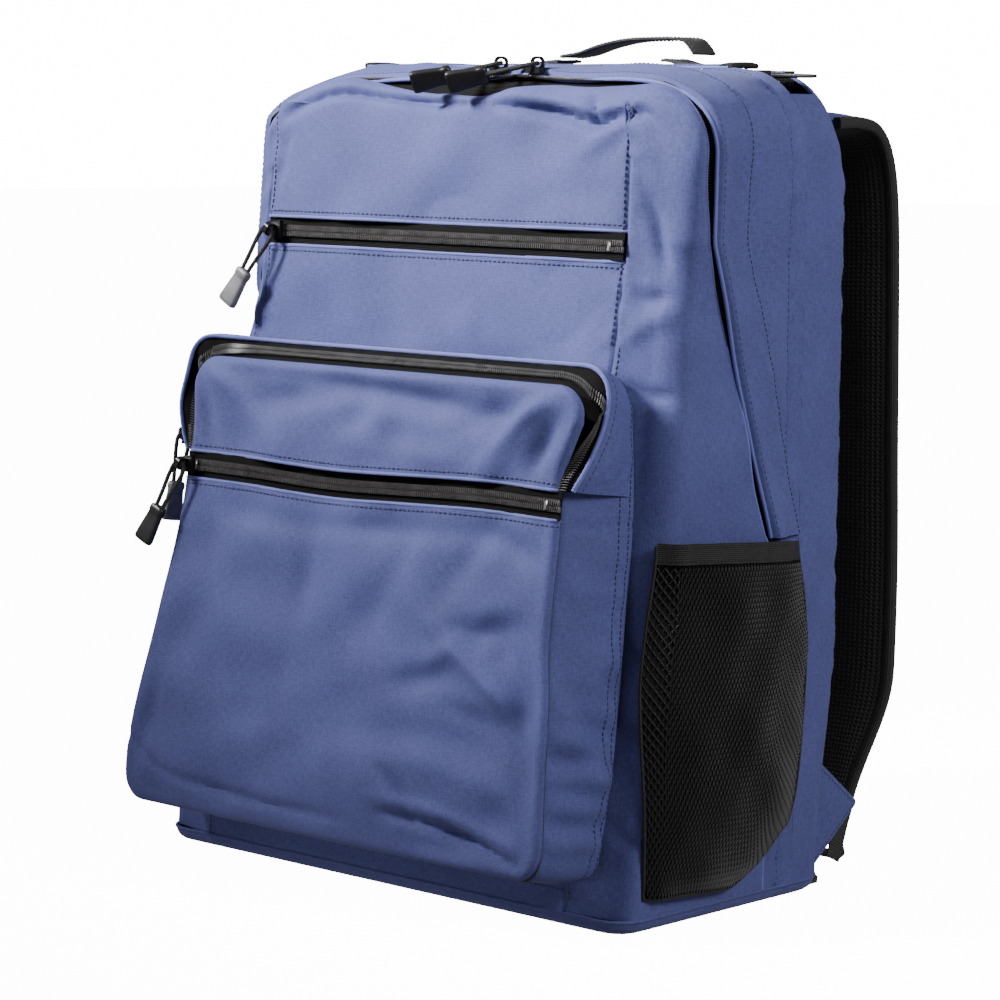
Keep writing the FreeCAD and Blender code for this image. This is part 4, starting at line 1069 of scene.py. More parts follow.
def make_back():
    """The back panel, nearly flat between the rounded rear corners."""
    z = fine_ends(BASE_EDGE, HEIGHT - rear_round(0.0) + 1, 5.0)
    u, z = np.meshgrid(np.linspace(-1, 1, 64), z, indexing="ij")
    grid = np.stack([u * back_half(z), np.full_like(z, BACK - 0.8), z], -1)
    grid = raised(grid, 0.8 * rough(grid, 90, 51) - 0.6)
    piece = Piece("back_panel", *CLOTH)
    piece.lined(grid)
    piece.make("pack", "blue_fabric", "back_panel")


make_shell()
make_base()
make_back()


# ---------------------------------------------------------------- the lower pocket

POCKET_DEPTH = 42.0                          # the pocket's face in front of the pack's
POCKET_BASE, POCKET_TOP = 28.5, 303.0        # up the leaning face
SLASH = 231.0                                # the face's own zipper
FACE_HIGH, FLAP_LOW, FLAP_HIGH = SLASH - 8.0, SLASH + 8.4, 296.5
EDGE_OUT = 37.5                              # where the face's edge meets the gusset
EDGE_ROUND = 5.0
LOW_CORNER, HIGH_CORNER = 14.0, 20.0
MOUTH_HEM, HEM_RISE = 20.0, 6.5              # the mouth's rear edge: in front of the pack, and above the seam


def profile(*points):
    """A smooth curve through (height, value) points, as a function of the height."""
    line = smooth_line([(height, value, 0.0) for height, value in points], 2.0)
    return lambda height: np.interp(height, line[:, 0], line[:, 1])


right_half = profile((25, 160), (48, 164), (72, 163), (122, 158), (153, 152), (185, 149), (223, 147),
                     (238, 146), (250, 146.5), (268, 153), (284, 158), (310, 157))
left_half = profile((25, 167), (48, 170), (72, 168), (122, 160), (153, 156), (185, 152), (223, 149.5),
                    (238, 148), (250, 147), (268, 148.5), (284, 150), (310, 149))
ring_half = profile((223, 151), (236, 150.5), (250, 156.5), (268, 160), (284, 161), (310, 160))
seam_half = profile((25, 164), (85, 168), (133, 167), (181, 165), (214, 165), (250, 163), (290, 158),
                    (315, 156))
hem_out = profile((225, 38.5), (240, 37), (252, 33), (268, 26), (284, 20.5), (300, MOUTH_HEM),
                  (320, MOUTH_HEM))
belly = profile((20, 7), (45, 9.5), (90, 10), (150, 5.5), (200, 1), (225, 0), (320, 0))


def face_half(up, side):
    """Half the face's width at a height, on either side."""
    return np.where(side < 0, left_half(up), right_half(up))


FACE_DENTS = [
    # across, up, half length, half width, turn in degrees, depth: puckers in the face, low on the right
    (104, 158, 22, 8, 12, -7.0), (120, 150, 10, 7, -50, -3.5), (66, 128, 18, 8, 14, -6.0),
    (108, 112, 18, 6, -10, -3.0), (110, 134, 44, 6, -32, 5.0), (140, 116, 12, 5, -40, -4.0),
    (84, 146, 24, 7, 40, 3.0), (-4, 176, 60, 16, 76, 2.6), (-36, 168, 56, 9, 84, -2.2),
    (36, 186, 44, 9, 62, -2.2), (88, 196, 40, 9, 52, -2.4), (-112, 120, 60, 14, 80, 2.0),
    (-150, 84, 34, 8, 72, -2.4), (0, 58, 120, 20, 2, 2.5), (134, 60, 14, 8, -40, -4.0),
    (96, 82, 34, 9, -8, 2.4), (60, 96, 60, 9, 6, -2.0), (30, 208, 70, 7, 2, -2.2),
    (118, 206, 30, 7, -14, -3.0), (-80, 206, 40, 8, -4, -1.8), (-60, 92, 50, 10, 12, -1.8),
    (150, 118, 72, 40, 90, -7.0),
]
FLAP_DENTS = [
    (16, 284, 70, 8, -5, -7.0), (-8, 270, 16, 9, 20, -4.0), (20, 262, 10, 16, 0, -1.6),
    (118, 276, 30, 6, 42, 5.0), (134, 262, 18, 7, 62, -5.0), (106, 256, 46, 8, 46, 3.0),
    (88, 274, 26, 8, 20, -3.0), (-122, 284, 26, 7, -34, 3.4), (-60, 276, 40, 8, 6, -3.4),
    (-136, 262, 20, 7, -64, -3.0), (-96, 262, 40, 9, -30, 1.8), (50, 250, 50, 7, -4, 1.6),
]
FACE_FOLDS = [(((52, 0, 52), (84, 0, 50), (118, 0, 44), (148, 0, 37)), -6.0, 3.0),
              (((48, 0, 60), (84, 0, 58), (118, 0, 52), (144, 0, 46)), 3.0, 4.0),
              (((50, 0, 78), (64, 0, 66), (72, 0, 54)), -4.0, 3.4),
              (((-166, 0, 66), (-140, 0, 52), (-100, 0, 46), (-40, 0, 43), (20, 0, 43)), -3.4, 3.0)]


def dents(x, up, marks):
    """How far soft dents and puffs move the face."""
    total = np.zeros(np.broadcast(x, up).shape)
    for across, height, length, width, turn, depth in marks:
        angle = math.radians(turn)
        along = (x - across) * math.cos(angle) + (up - height) * math.sin(angle)
        beside = (up - height) * math.cos(angle) - (x - across) * math.sin(angle)
        total += depth * np.exp(-(along / length) ** 2 - (beside / width) ** 2)
    return total


def corner_cut(height, edge, radius):
    """How much a rounded corner at an edge's height narrows the outline."""
    near = np.clip(radius - np.abs(height - edge), 0, radius)
    return radius - np.sqrt(radius ** 2 - near ** 2)


def edge_drop(distance):
    """How far the face turns back near its edge."""
    near = 1 - np.clip(distance / EDGE_ROUND, 0, 1)
    return (POCKET_DEPTH - EDGE_OUT) * (1 - np.sqrt(1 - near ** 2))


def face_grid(ups, low_edge, high_edge, marks, folds=()):
    """A stretch of the pocket's face. A rounded edge is at its lowest or highest place, where it has one."""
    shares = np.tanh(np.linspace(-2.3, 2.3, 150)) / math.tanh(2.3)
    u, up = np.meshgrid(shares, ups, indexing="ij")
    half = face_half(up, u)
    distance = (1 - np.abs(u)) * half
    if low_edge is not None:
        half = half - corner_cut(up, low_edge, LOW_CORNER)
        distance = np.minimum(distance, up - low_edge)
    if high_edge is not None:
        half = half - corner_cut(up, high_edge, HIGH_CORNER)
        distance = np.minimum(distance, high_edge - up)
    x = u * half
    flat = np.stack([x, 0 * x, up], -1)
    calm = 1 - np.exp(-(distance / 9) ** 2)
    crown = 5.0 * (1 - u ** 2) * bump(up, 115, 110)
    soft = 1.8 * rough(flat, 90, 61) + 1.1 * rough(flat, 34, 62)
    bulge = crown + (soft + dents(x, up, marks)) * calm + creases(flat, folds)
    return lean(x, POCKET_DEPTH + belly(up) - edge_drop(distance) + bulge, up)


def slash_sag(x):
    """Height of the face's zipper, which sags a little."""
    return SLASH - 2.2 * bump(x, -25, 55) + 1.2 * bump(x, 95, 40)


def side_loop(levels, low, high, corner, end, half_at, out_at):
    """Lines along the pocket's side and round one end to the other side, one for each share of its depth."""
    rows = max(3, int(abs(high - low) / 3.0))
    up = np.linspace(low, high, rows)
    way = 1 if end > high else -1
    turn = np.linspace(0, np.pi / 2, 9)[1:]
    lines = []
    for share in levels:
        arms = []
        for side in (1, -1):
            half = half_at(up, share, side)
            bend = np.stack([half[-1] - corner * (1 - np.cos(turn)), high + way * corner * np.sin(turn)], 1)
            arms.append(np.vstack([np.stack([half, up], 1), bend]) * (side, 1))
        across = np.linspace(arms[0][-1, 0], arms[1][-1, 0], 100)[1:-1]
        flat = np.stack([across, np.full_like(across, arms[0][-1, 1])], 1)
        lines.append(np.vstack([arms[0], flat, arms[1][::-1]]))
    return np.stack([lean(line[:, 0], out_at(line[:, 1], share), line[:, 1])
                     for line, share in zip(lines, levels)], 1)


ABOVE, BELOW = 999, -999                     # which end of the pocket a side_loop goes round
CHAIN_FROM = lean(0, 10, 240)                # inside the pocket, behind its chain


def make_pocket_sheet(name, body, node, low, high, edges, marks, folds=()):
    """The pocket's face below its zipper, or the flap above it. Edges are its rounded ends, low and high."""
    piece = Piece(name, *CLOTH)
    fine, zip_at, hem_edge = (2.4, high, "right") if body == "pack" else (2.0, low, "left")
    ups = fine_ends(low, high, fine)
    grid = sink_to_zip(face_grid(ups, *edges, marks, folds), ups, zip_at)
    out = piece.lined(grid)
    hem(piece, grid, out, hem_edge)
    seam_line(piece, grid, out, hem_edge, 3.2, sewing=BOLD_SEWING)
    if body != "pack":
        skirt = side_loop((0, 0.5, 1), FLAP_LOW, FLAP_HIGH - HIGH_CORNER, HIGH_CORNER, ABOVE,
                          lambda up, share, side: face_half(up, side) - 0.3 - 0.8 * share,
                          lambda up, share: EDGE_OUT + 0.8 - 3.2 * share)
        piece.cloth(skirt, 1.2, away=lean(0, 20, 250))
    piece.make(body, "blue_fabric", node)


def make_pocket_gusset():
    """The gusset: a low part up to the zipper's start and a high part round the mouth, which it returns."""
    def half(up, share, front_half):
        """Half the width at a share of the depth, from the seam to the front."""
        return seam_half(up) * (1 - share) + front_half * share

    def out_at(up, share, front_out):
        """How far out it stands at a share of the depth."""
        return -3.0 * bump(up, 190, 90) * (1 - share) + share * front_out

    gusset = Piece("pocket_gusset", *CLOTH)
    levels = fine_shares(EDGE_OUT, 4.0)
    low = side_loop(levels, FLAP_LOW, POCKET_BASE + LOW_CORNER, LOW_CORNER, BELOW,
                    lambda up, share, side: half(up, share, face_half(up, side)),
                    lambda up, share: out_at(up, share, EDGE_OUT + belly(up)))
    low = shape_gusset(low, levels)
    out = gusset.lined(low, lean(0, 15, 150))
    # A thin dark cord in the lining's colour along the face's edge: a painted shadow line at the seam.
    gusset.cord(low[:, -1] + out[:, -1] * 0.2, 0.8, INK_LINING)
    for distance in (3.0, 9.0):
        seam_line(gusset, low, out, "left", distance)
    high = side_loop(levels, FLAP_LOW, POCKET_TOP - HIGH_CORNER, HIGH_CORNER, ABOVE,
                     lambda up, share, side: half(up, share * 0.75, ring_half(up)),
                     lambda up, share: out_at(up, share, hem_out(up)))
    forward = 16.0 * ramp(-high[..., 0], 92, 150) * ramp(high[..., 2], 238, 276) * levels[None]
    high += forward[..., None] * OUT_OF_FACE
    high[..., 2] += HEM_RISE * levels[None] ** 0.8 * ramp(high[..., 2], 268, 296)
    high = shape_gusset(high, levels)
    out = gusset.lined(high, lean(0, 15, 200))
    hem(gusset, high, out, "right", 1.3)
    seam_line(gusset, high, out, "left", 3.0)
    seam_line(gusset, high, out, "right", 5.0, sewing=HEM_SEWING)
    gusset.make("pack", "blue_fabric", "pocket_gusset")
    return high, out


def make_pocket_chain(gusset, out):
    """The zipper round the pocket's mouth, between the gusset's hem and the flap."""
    chain = Piece("pocket_zipper", tape, coil)
    rear = gusset[:, -1] - out[:, -1] * 1.6
    front = side_loop((0,), FLAP_LOW, POCKET_TOP - HIGH_CORNER, HIGH_CORNER, ABOVE,
                      lambda up, share, side: face_half(up, side) - 1.5,
                      lambda up, share: np.where(up < 284, hem_out(up) + 3.0, EDGE_OUT - 2.5))[:, 0]
    front[:, 2] -= (POCKET_TOP - FLAP_HIGH + 1.5) * ramp(front[:, 2], 262, 296)
    front[:, 0] -= np.sign(front[:, 0]) * 5.0 * (1 - ramp(front[:, 2], 244, 282))
    front = same_count(front, len(rear))
    shares = np.linspace(0, 1, 6)[None, :, None]
    chain.cloth(rear[:, None] * (1 - shares) + front[:, None] * shares, TAPE_THICK, away=CHAIN_FROM)
    line = (rear + front) / 2
    across = unit(front - rear)
    path_out = unit(np.cross(across, np.gradient(line, axis=0)))
    path_out *= np.sign(np.sum(path_out * (line - CHAIN_FROM), axis=1, keepdims=True))
    centre, side, normal = resample(line, TOOTH, across, path_out)
    for row in (-1, 1):
        teeth(chain, centre + unit(side) * row * ROW_OUT + unit(normal) * 0.9, side, normal)
    chain.make("pack", "zipper_black", "pocket_zip_chain")


def make_pocket():
    """The lower pocket: face, flap, gusset and both its zippers."""
    make_pocket_sheet("pocket_front", "pack", "pocket_front_panel", POCKET_BASE, FACE_HIGH,
                      (POCKET_BASE, None), FACE_DENTS, FACE_FOLDS)
    make_pocket_sheet("pocket_flap", "pocket_flap", "pocket_flap_panel", FLAP_LOW, FLAP_HIGH,
                      (None, FLAP_HIGH), FLAP_DENTS)
    make_pocket_chain(*make_pocket_gusset())
    straight_zipper("slash_zipper", 148.5, POCKET_DEPTH - 0.8, slash_sag, "pack", "slash_zip_chain")


def sink_to_zip(grid, ups, edge):
    """The face's edge beside the zipper follows the zipper's sag."""
    near = bump(ups, edge, 22.0)
    moved = grid.copy()
    moved[..., 2] += (slash_sag(grid[..., 0]) - SLASH) * near[None]
    return moved


def shape_gusset(grid, levels):
    """The gusset's slack between its seams, with folds across it low on the sides and a cross seam."""
    share = np.broadcast_to(levels, grid.shape[:2])
    up = grid[..., 2]
    slack = 1.4 * np.sin(np.pi * share) * (1 + 0.5 * rough(grid, 60, 71))
    fade = np.sin(np.pi * share) ** 0.6
    crumple = 4.6 * rough(grid, 32, 72, (0.5, 0.8, 1.5)) * bump(up, 100, 62) * fade
    cross = -1.2 * bump(up, 222, 1.6)
    sewn = seams(grid, ["left", "right"], 73, 0.9, 0.5)
    return raised(grid, slack + crumple + cross + sewn, lean(0, 15, 150))


make_pocket()


# ---------------------------------------------------------------- side mesh pockets

MESH_BASE = corners("mesh_pocket_right")[0][2]
BIND_BASE, BIND_TOP = (corner[2] for corner in corners("mesh_binding_right"))
mesh_front = profile((10, -66), (33, -66), (69, -66), (111, -66), (139, -64), (170, -59), (200, -54),
                     (225, -53))
mesh_rear = profile((10, 22), (20, 34), (31, 48), (63, 63), (114, 69), (148, 70), (175, 67), (200, 61),
                    (225, 58))
mesh_wrap = profile((10, 183), (33, 184), (69, 183.5), (111, 180), (139, 177.5), (170, 177), (200, 178),
                    (225, 178))


def mesh_place(share, z, side, lift):
    """A place on a side pocket: from its front edge to its rear edge, at a height, proud of the body."""
    y = mesh_front(z) * (1 - share) + mesh_rear(z) * share
    rise = ramp(z, MESH_BASE - 2, MESH_BASE + 60)
    bulge = np.sin(np.pi * np.clip(share, 0, 1)) ** 0.7 * (3.0 + 6.5 * rise)
    x = mesh_wrap(z) + 1.6 + (HALF + 1.4 - mesh_wrap(z)) * ramp(share, 0, 0.09) + bulge + lift
    return np.stack([side * x, y, z], -1)


def mesh_top(share):
    """The mesh's top edge, where its binding begins: it dips towards the rear."""
    return BIND_BASE + 9.0 - 7.0 * share ** 1.5


def mesh_bottom(share):
    """The pocket's lower edge, which rises towards the rear."""
    return MESH_BASE + 4 - 5 * share + 30 * ramp(share, 0.62, 1.0) ** 2


def make_mesh_backing(word, side, away):
    """The dark cloth seen through the net."""
    piece = Piece("mesh_backing_" + word, knit_back, thread)
    share, rise = np.meshgrid(np.linspace(0, 1, 36), np.linspace(0, 1, 48), indexing="ij")
    z = mesh_bottom(share) * (1 - rise) + (mesh_top(share) + 1) * rise
    grid = mesh_place(share, z, side, -0.6)
    piece.cloth(raised(grid, 0.9 * rough(grid, 40, 81), away), 0.6, away=away)
    piece.make("pack", "pocket_mesh")


def make_net(word, side):
    """The net: a lattice of diamonds, whose edges become strands."""
    columns, rows = 42, 62
    stride = columns + 1
    j, i = np.meshgrid(np.arange(rows + 1), np.arange(stride), indexing="ij")
    share = np.minimum((i + 0.5 * (j % 2)) / columns, 1.0)
    low, top = mesh_bottom(share), mesh_top(share) + 1
    verts = mesh_place(share, low + (top - low) * j / rows, side, 0.0).reshape(-1, 3)
    faces = []
    for row in range(rows - 1):
        for column in range(1 - row % 2, columns):
            start = row * stride + column
            left = start + stride - (1 - row % 2)
            faces.append((start, left + 1, start + 2 * stride, left))
    verts += np.array((side, 0, 0)) * (0.9 * rough(verts, 40, 81))[:, None]
    net = bpy.data.meshes.new("mesh_pocket_" + word)
    net.from_pydata((verts * MM).tolist(), [], faces)
    net.materials.append(knit)
    made = add_object("mesh_pocket_net_" + word, net)
    wire = made.modifiers.new("strands", "WIREFRAME")
    wire.thickness, wire.use_even_offset, wire.use_replace = 0.0017, False, True
    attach(made, "pack")
    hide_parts("mesh_pocket_" + word)


def make_mesh_edges(word, side, away):
    """The elastic binding along the pocket's top, and a thin cord round its other edges."""
    band = Piece("mesh_binding_" + word, binding, black_thread)
    across = fine_ends(0, BIND_TOP - BIND_BASE - 0.5, 2.0)
    share, up = np.meshgrid(np.linspace(0, 1, 50), across, indexing="ij")
    grid = mesh_place(share, mesh_top(share) + up, side, 0.9)
    grid = raised(grid, 0.5 * rough(grid, 16, 83, (1, 1, 0.3)), away)
    out = band.cloth(grid, 1.8, away=away)
    for edge in ("left", "right"):
        seam_line(band, grid, out, edge, 2.0, sewing=BINDING_SEWING)
    band.make("pack", "black_webbing", "mesh_binding_" + word)
    trim = Piece("mesh_trim_" + word, binding)
    for edge in (0.0, 1.0):
        z = spaced(mesh_bottom(edge), mesh_top(edge) + 10, 4)
        trim.cord(mesh_place(np.full_like(z, edge), z, side, 0.0), 1.0)
    share = np.linspace(0, 1, 40)
    trim.cord(mesh_place(share, mesh_bottom(share), side, 0.0), 1.0)
    trim.make("pack", "pocket_mesh")


for word, side in SIDES:
    body_middle = np.array((side * 150.0, 10.0, 110.0))
    make_mesh_backing(word, side, body_middle)
    make_net(word, side)
    make_mesh_edges(word, side, body_middle)


# ---------------------------------------------------------------- top: rear zipper, its cover and the handle

REAR_ZIP_Y, REAR_COIL = 76.0, 462.8
INK_BINDING = 4                              # the rear cover's, after the cloth's own materials


def make_rear_zipper():
    """The rear zipper, sunk in its slot between two walls of tape."""
    piece = Piece("rear_zipper", tape, coil, stop_metal)
    reach = corners("rear_zip_chain")[1][0] + 18
    x = spaced(-reach, reach, 3.0)
    line = np.stack([x, np.full_like(x, REAR_ZIP_Y), np.full_like(x, REAR_COIL - 1)], 1)
    out = repeated((0.0, 0.0, 1.0), len(x))
    across = repeated((0.0, 1.0, 0.0), len(x))
    zipper(piece, line, across, out, half=SLOT_HIGH - REAR_ZIP_Y)
    for y, side in ((SLOT_LOW, 1), (SLOT_HIGH, -1)):
        wall = np.stack([np.stack([x, np.full_like(x, y), np.full_like(x, z)], 1)
                         for z in (HEIGHT - 0.6, HEIGHT - 4, REAR_COIL - 1.5)], 1)
        piece.cloth(wall, TAPE_THICK, away=np.array((0.0, y - side * 40.0, 450.0)))
    piece.make("pack", "zipper_black", "rear_zip_chain")


def make_rear_cover():
    """The cover over the rear zipper, bound at both ends."""
    cover = Piece("rear_cover", *CLOTH, binding)
    low, high = corners("rear_zip_flap")
    below = np.array((0, 75.0, 400.0))
    y, x = np.meshgrid(np.linspace(low[1], high[1] - 0.8, 14), fine_ends(low[0], high[0], 4.0))
    top = 471.8 + 1.3 * np.sin(np.pi * (y - low[1]) / (high[1] - low[1])) ** 0.7
    grid = np.stack([x, y, top], -1)
    grid = raised(grid, 0.3 * rough(grid, 40, 91), below)
    out = cover.cloth(grid, 1.5, away=below)
    # The left edge's rolled hem is in the lighter blue, a painted highlight; the right one is the plain
    # cloth.
    for edge in ("left", "right"):
        hem(cover, grid, out, edge, 0.8, INK_HIGHLIGHT if edge == "left" else 0, 0.8)
        seam_line(cover, grid, out, edge, 3.0, sewing=HEM_SEWING)
    for edge in ("first", "last"):
        line, normals = inset_line(grid, out, 2.0, edge)
        ends = unit(np.gradient(line, axis=0))
        section = [(-4.5, -2.0), (4.5, -2.0), (5.0, -0.6), (4.2, 0.9), (-4.2, 0.9), (-5.0, -0.6)]
        cover.sweep(line, np.cross(normals, ends), normals, section, INK_BINDING)
    cover.make("rear_cover", "blue_fabric", "rear_zip_flap")


def flat_bar(piece, line, across, width, thick, ink=0):
    """A strip of webbing along a line, with rounded edges."""
    out = unit(np.cross(np.gradient(line, axis=0), across))
    half, deep = width / 2, thick / 2
    inner, low = half - 0.7, deep * 0.4
    section = [(-inner, -deep), (inner, -deep), (half, -low), (half, low),
               (inner, deep), (-inner, deep), (-half, low), (-half, -low)]
    piece.sweep(line, across, out, section, ink)
    return out


def make_handle():
    """The handle's loop of webbing, sewn near both edges on both faces."""
    low, high = corners("carry_handle")
    line = smooth_line([(-21.5, 0, 477.6), (-8, 0, 479.4), (10, 0, 484.2), (30, 0, 487.3), (52, 0, 488.0),
                        (68, 0, 487.9), (74.5, 0, 486.6), (79.4, 0, 482.4), (82.2, 0, 478.9)], 2.0)
    line[:, 1] = (low[1] + high[1]) / 2 + 0.3 * np.sin(line[:, 0] / 19.0)
    across = repeated((0.0, 1.0, 0.0), len(line))
    piece = Piece("handle_strap", webbing, black_thread)
    out = flat_bar(piece, line, across, high[1] - low[1] - 0.8, 1.8)
    for side in (-1, 1):
        for face in (-1, 1):
            piece.stitches(line + across * side * 8.6 + out * face * 1.1, out * face, INK_THREAD, WEB_SEWING)
    piece.make("handle", "black_webbing", "carry_handle")


def make_handle_end(word):
    """One end of the handle, sewn down on the top all round and corner to corner."""
    low, high = corners("handle_end_" + word)
    below = np.array((0.0, 99.0, 400.0))
    y, x = np.meshgrid(np.linspace(low[1], high[1], 10), fine_ends(low[0], high[0], 3.0))
    share = (x - low[0]) / (high[0] - low[0])
    toward = share if word == "left" else 1 - share
    grid = np.stack([x, y, 473.0 + (high[2] - 473.0) * ramp(toward, 0.35, 1.0)], -1)
    grid = raised(grid, 0.25 * rough(grid, 22, 93), below)
    piece = Piece("handle_tab_" + word, webbing, black_thread)
    out = piece.cloth(grid, 1.8, away=below)
    for edge in ("first", "last", "left", "right"):
        seam_line(piece, grid, out, edge, 3.0, sewing=TAB_SEWING)
    share = np.linspace(0, 1, 12)[:, None]
    for start, end in ((grid[4, 2], grid[-5, 7]), (grid[4, 7], grid[-5, 2])):
        cross = start * (1 - share) + end * share
        cross[:, 2] = np.interp(cross[:, 0], grid[:, 5, 0], grid[:, 5, 2]) + 0.3
        piece.stitches(cross, repeated((0.0, 0.0, 1.0), len(cross)), INK_THREAD, TAB_SEWING)
    piece.make("pack", "black_webbing", "handle_end_" + word)


make_rear_zipper()
make_rear_cover()
make_handle()
for word, side in SIDES:
    make_handle_end(word)


# ---------------------------------------------------------------- cord pulls

CORD_ROUTE = [(-2.6, 0, -30), (-3.4, 0, -20), (-4.8, 0, -10), (-4.9, 0, 0), (4.9, 0, 0), (4.8, 0, -10),
              (3.4, 0, -20), (2.6, 0, -30)]
CORD_LENGTH, CORD_THICK = 0.0661, 0.0026
GRIP_SHAPE = [
    # below the hole, width and thickness: a collar, a waist, and a foot that is a little wider
    (29.2, 7.6, 4.2), (29.8, 10.4, 5.1), (31.2, 11.4, 5.6), (33.4, 11.4, 5.6), (34.2, 10.7, 4.7),
    (36.0, 11.0, 4.6), (40.0, 11.9, 4.8), (46.0, 13.2, 5.2), (50.4, 14.0, 5.5), (52.2, 13.6, 5.2),
    (53.0, 12.2, 4.1)]
REAR_TAB_SHAPE = [
    # from the hole, width and thickness
    (0.4, 8.0, 2.4), (1.2, 9.4, 2.8), (12, 9.6, 2.8), (13, 10.6, 3.4), (20, 10.6, 3.4), (21, 9.8, 2.8),
    (34, 7.4, 2.6), (44, 4.6, 2.4), (47.4, 3.0, 1.8)]
REAR_TAB_DROOP = math.radians(-0.5)


def pull_joint(name):
    """Where a pull's hole is, and the line it swings about."""
    joint = next(joint for joint in frame["joints"] if joint["name"] == name + "_pull_swing")
    return np.array(joint["pos_m"]) / MM, unit(np.array(joint["axis"], float))


def moulding(piece, line, wide, flat, shape):
    """A moulded tab along a line, with a rounded box's outline at each station of its shape."""
    turn = np.linspace(0, 2 * np.pi, 28, endpoint=False)
    outline = np.stack([np.sign(way) * np.sqrt(np.abs(way)) for way in (np.cos(turn), np.sin(turn))], 1) / 2
    wide, flat = (repeated(way, len(line)) for way in (wide, flat))
    piece.sweep(line, wide, flat, outline, 0, np.array(shape)[:, 1:])


def make_cord(name, place):
    """A pull's cord, doubled through the slider's hole."""
    curve = bpy.data.curves.new(name + "_loop", "CURVE")
    curve.dimensions = "3D"
    curve.bevel_depth, curve.bevel_resolution = CORD_THICK / 2, 3
    spline = curve.splines.new("NURBS")
    spline.points.add(len(CORD_ROUTE) - 1)
    for point, where in zip(spline.points, CORD_ROUTE):
        point.co = (*(place(*where) * MM), 1)
    spline.order_u = 3
    spline.use_endpoint_u = True
    spline.resolution_u = 10
    curve.materials.append(cord_braid)
    loop = add_object(name + "_loop", curve)
    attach(loop, name + "_pull")
    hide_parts(name + "_cord")
    return loop


def make_pull(name, rubber, slot, twist=0.0):
    """A cord and its moulded grip, hanging from a slider. The grip may be twisted about the cord."""
    hole, axis = pull_joint(name)
    grip = frame["nodes"][name + "_grip"].data.vertices
    up = hole - np.array([vertex.co for vertex in grip]).mean(0) / MM
    across = -axis
    up = unit(up - across * (up @ across))
    face = np.cross(up, across)

    def place(x, y, z):
        """A place in the pull's own frame: across, facing out, and up to the hole."""
        return hole + x * across + y * face + z * up

    loop = make_cord(name, place)
    piece = Piece(name + "_tab", rubber)
    cos_twist, sin_twist = math.cos(math.radians(twist)), math.sin(math.radians(twist))
    moulding(piece, np.array([place(0, 0, -z) for z, _, _ in GRIP_SHAPE]),
             across * cos_twist + face * sin_twist, face * cos_twist - across * sin_twist, GRIP_SHAPE)
    grip = piece.make(name + "_pull", slot, name + "_grip")


def make_rear_pull():
    """The rear zipper's moulded tab, longer than the cord pulls' grips."""
    start = pull_joint("rear")[0]
    way = np.array((math.cos(REAR_TAB_DROOP), 0, math.sin(REAR_TAB_DROOP)))
    piece = Piece("rear_tab", plastic)
    line = np.array([start + way * far for far, _, _ in REAR_TAB_SHAPE])
    moulding(piece, line, (0.0, 1.0, 0.0), np.cross(way, (0, 1, 0)), REAR_TAB_SHAPE)
    piece.make("rear_pull", "black_plastic", "rear_pull")


for name in ("upper", "pocket"):
    make_pull(name, grey_rubber, "grip_grey")
make_pull("slash", black_rubber, "grip_black")
for name in ("main_left", "main_right"):
    make_pull(name, black_rubber, "grip_black", twist=-58)
make_rear_pull()


# ---------------------------------------------------------------- back: shoulder straps, yoke and pads

STRAP_LINE = [(0, 110, 440), (0, 128, 440.5), (0, 148, 436), (0, 159, 420), (0, 164, 390), (0, 165, 330),
              (0, 165, 250), (0, 164.5, 180), (0, 160, 110), (0, 152, 70), (0, 141.5, 34)]


INK_STRAP_EDGE, INK_STRAP_WEB, INK_STRAP_MESH = 2, 3, 4


def strap_frame(side):
    """A strap's middle line, its way across, and its way out from the back."""
    line = smooth_line(STRAP_LINE, 4.0)
    line[:, 0] = side * (140 + (447 - line[:, 2]) * 0.0262)
    along = unit(np.gradient(line, axis=0))
    across = repeated((1.0, 0.0, 0.0), len(line))
    across = unit(across - along * np.sum(across * along, axis=1, keepdims=True))
    out = np.cross(along, across)
    return line, across, out if out[len(out) // 2, 1] > 0 else -out


def make_strap_pad(piece, side):
    """A strap's padding, full in the middle, with its bound edges. Returns its frame and its thickness."""
    line, across, out = strap_frame(side)
    half = 15.0 + 17.4 * ramp(line[:, 2], 36, 120) * (1 - 0.04 * bump(line[:, 2], 250, 80))
    shares = np.linspace(-1, 1, 26)
    ends = np.clip(np.minimum(np.arange(len(line)), np.arange(len(line))[::-1]) / 4.0, 0.0, 1.0) ** 0.5
    deep = 5.2 * (1 - 0.25 * ramp(-line[:, 2], -90, -40)) * ends
    puff = (1 - np.abs(shares) ** 3.2)[None] * deep[:, None] + 1.3
    flat = line[:, None] + across[:, None] * (shares[None, :, None] * half[:, None, None])
    crown = (1 - shares ** 2)[None]
    lumps = 0.5 * rough(flat, 34, 95 + side, (0.5, 1, 1)) * crown
    wrinkles = -1.0 * bump(flat[..., 2], 425, 3.5) - 0.8 * bump(flat[..., 2], 402, 3)
    core, away = flat.mean((0, 1)), out[len(out) // 2] * 60
    outer = flat + out[:, None] * (puff + lumps + wrinkles * crown)[..., None]
    normals = piece.cloth(outer, 1.4, away=core - away)
    piece.cloth(flat - out[:, None] * (puff + 0.8 * lumps)[..., None], 1.4, INK_STRAP_MESH, away=core + away)
    section = [(-3.4, -3.6), (-3.6, 0.2), (-2.2, 1.6), (2.2, 1.6), (3.6, 0.2), (3.4, -3.6)]
    for edge in (-1, 1):
        rim = line + across * (edge * half)[:, None]
        piece.sweep(rim, out, across * edge, section, INK_STRAP_EDGE)
    for edge in ("left", "right"):
        seam_line(piece, outer, normals, edge, 5.0, sewing=STRAP_SEWING)
    return line, across, out, puff


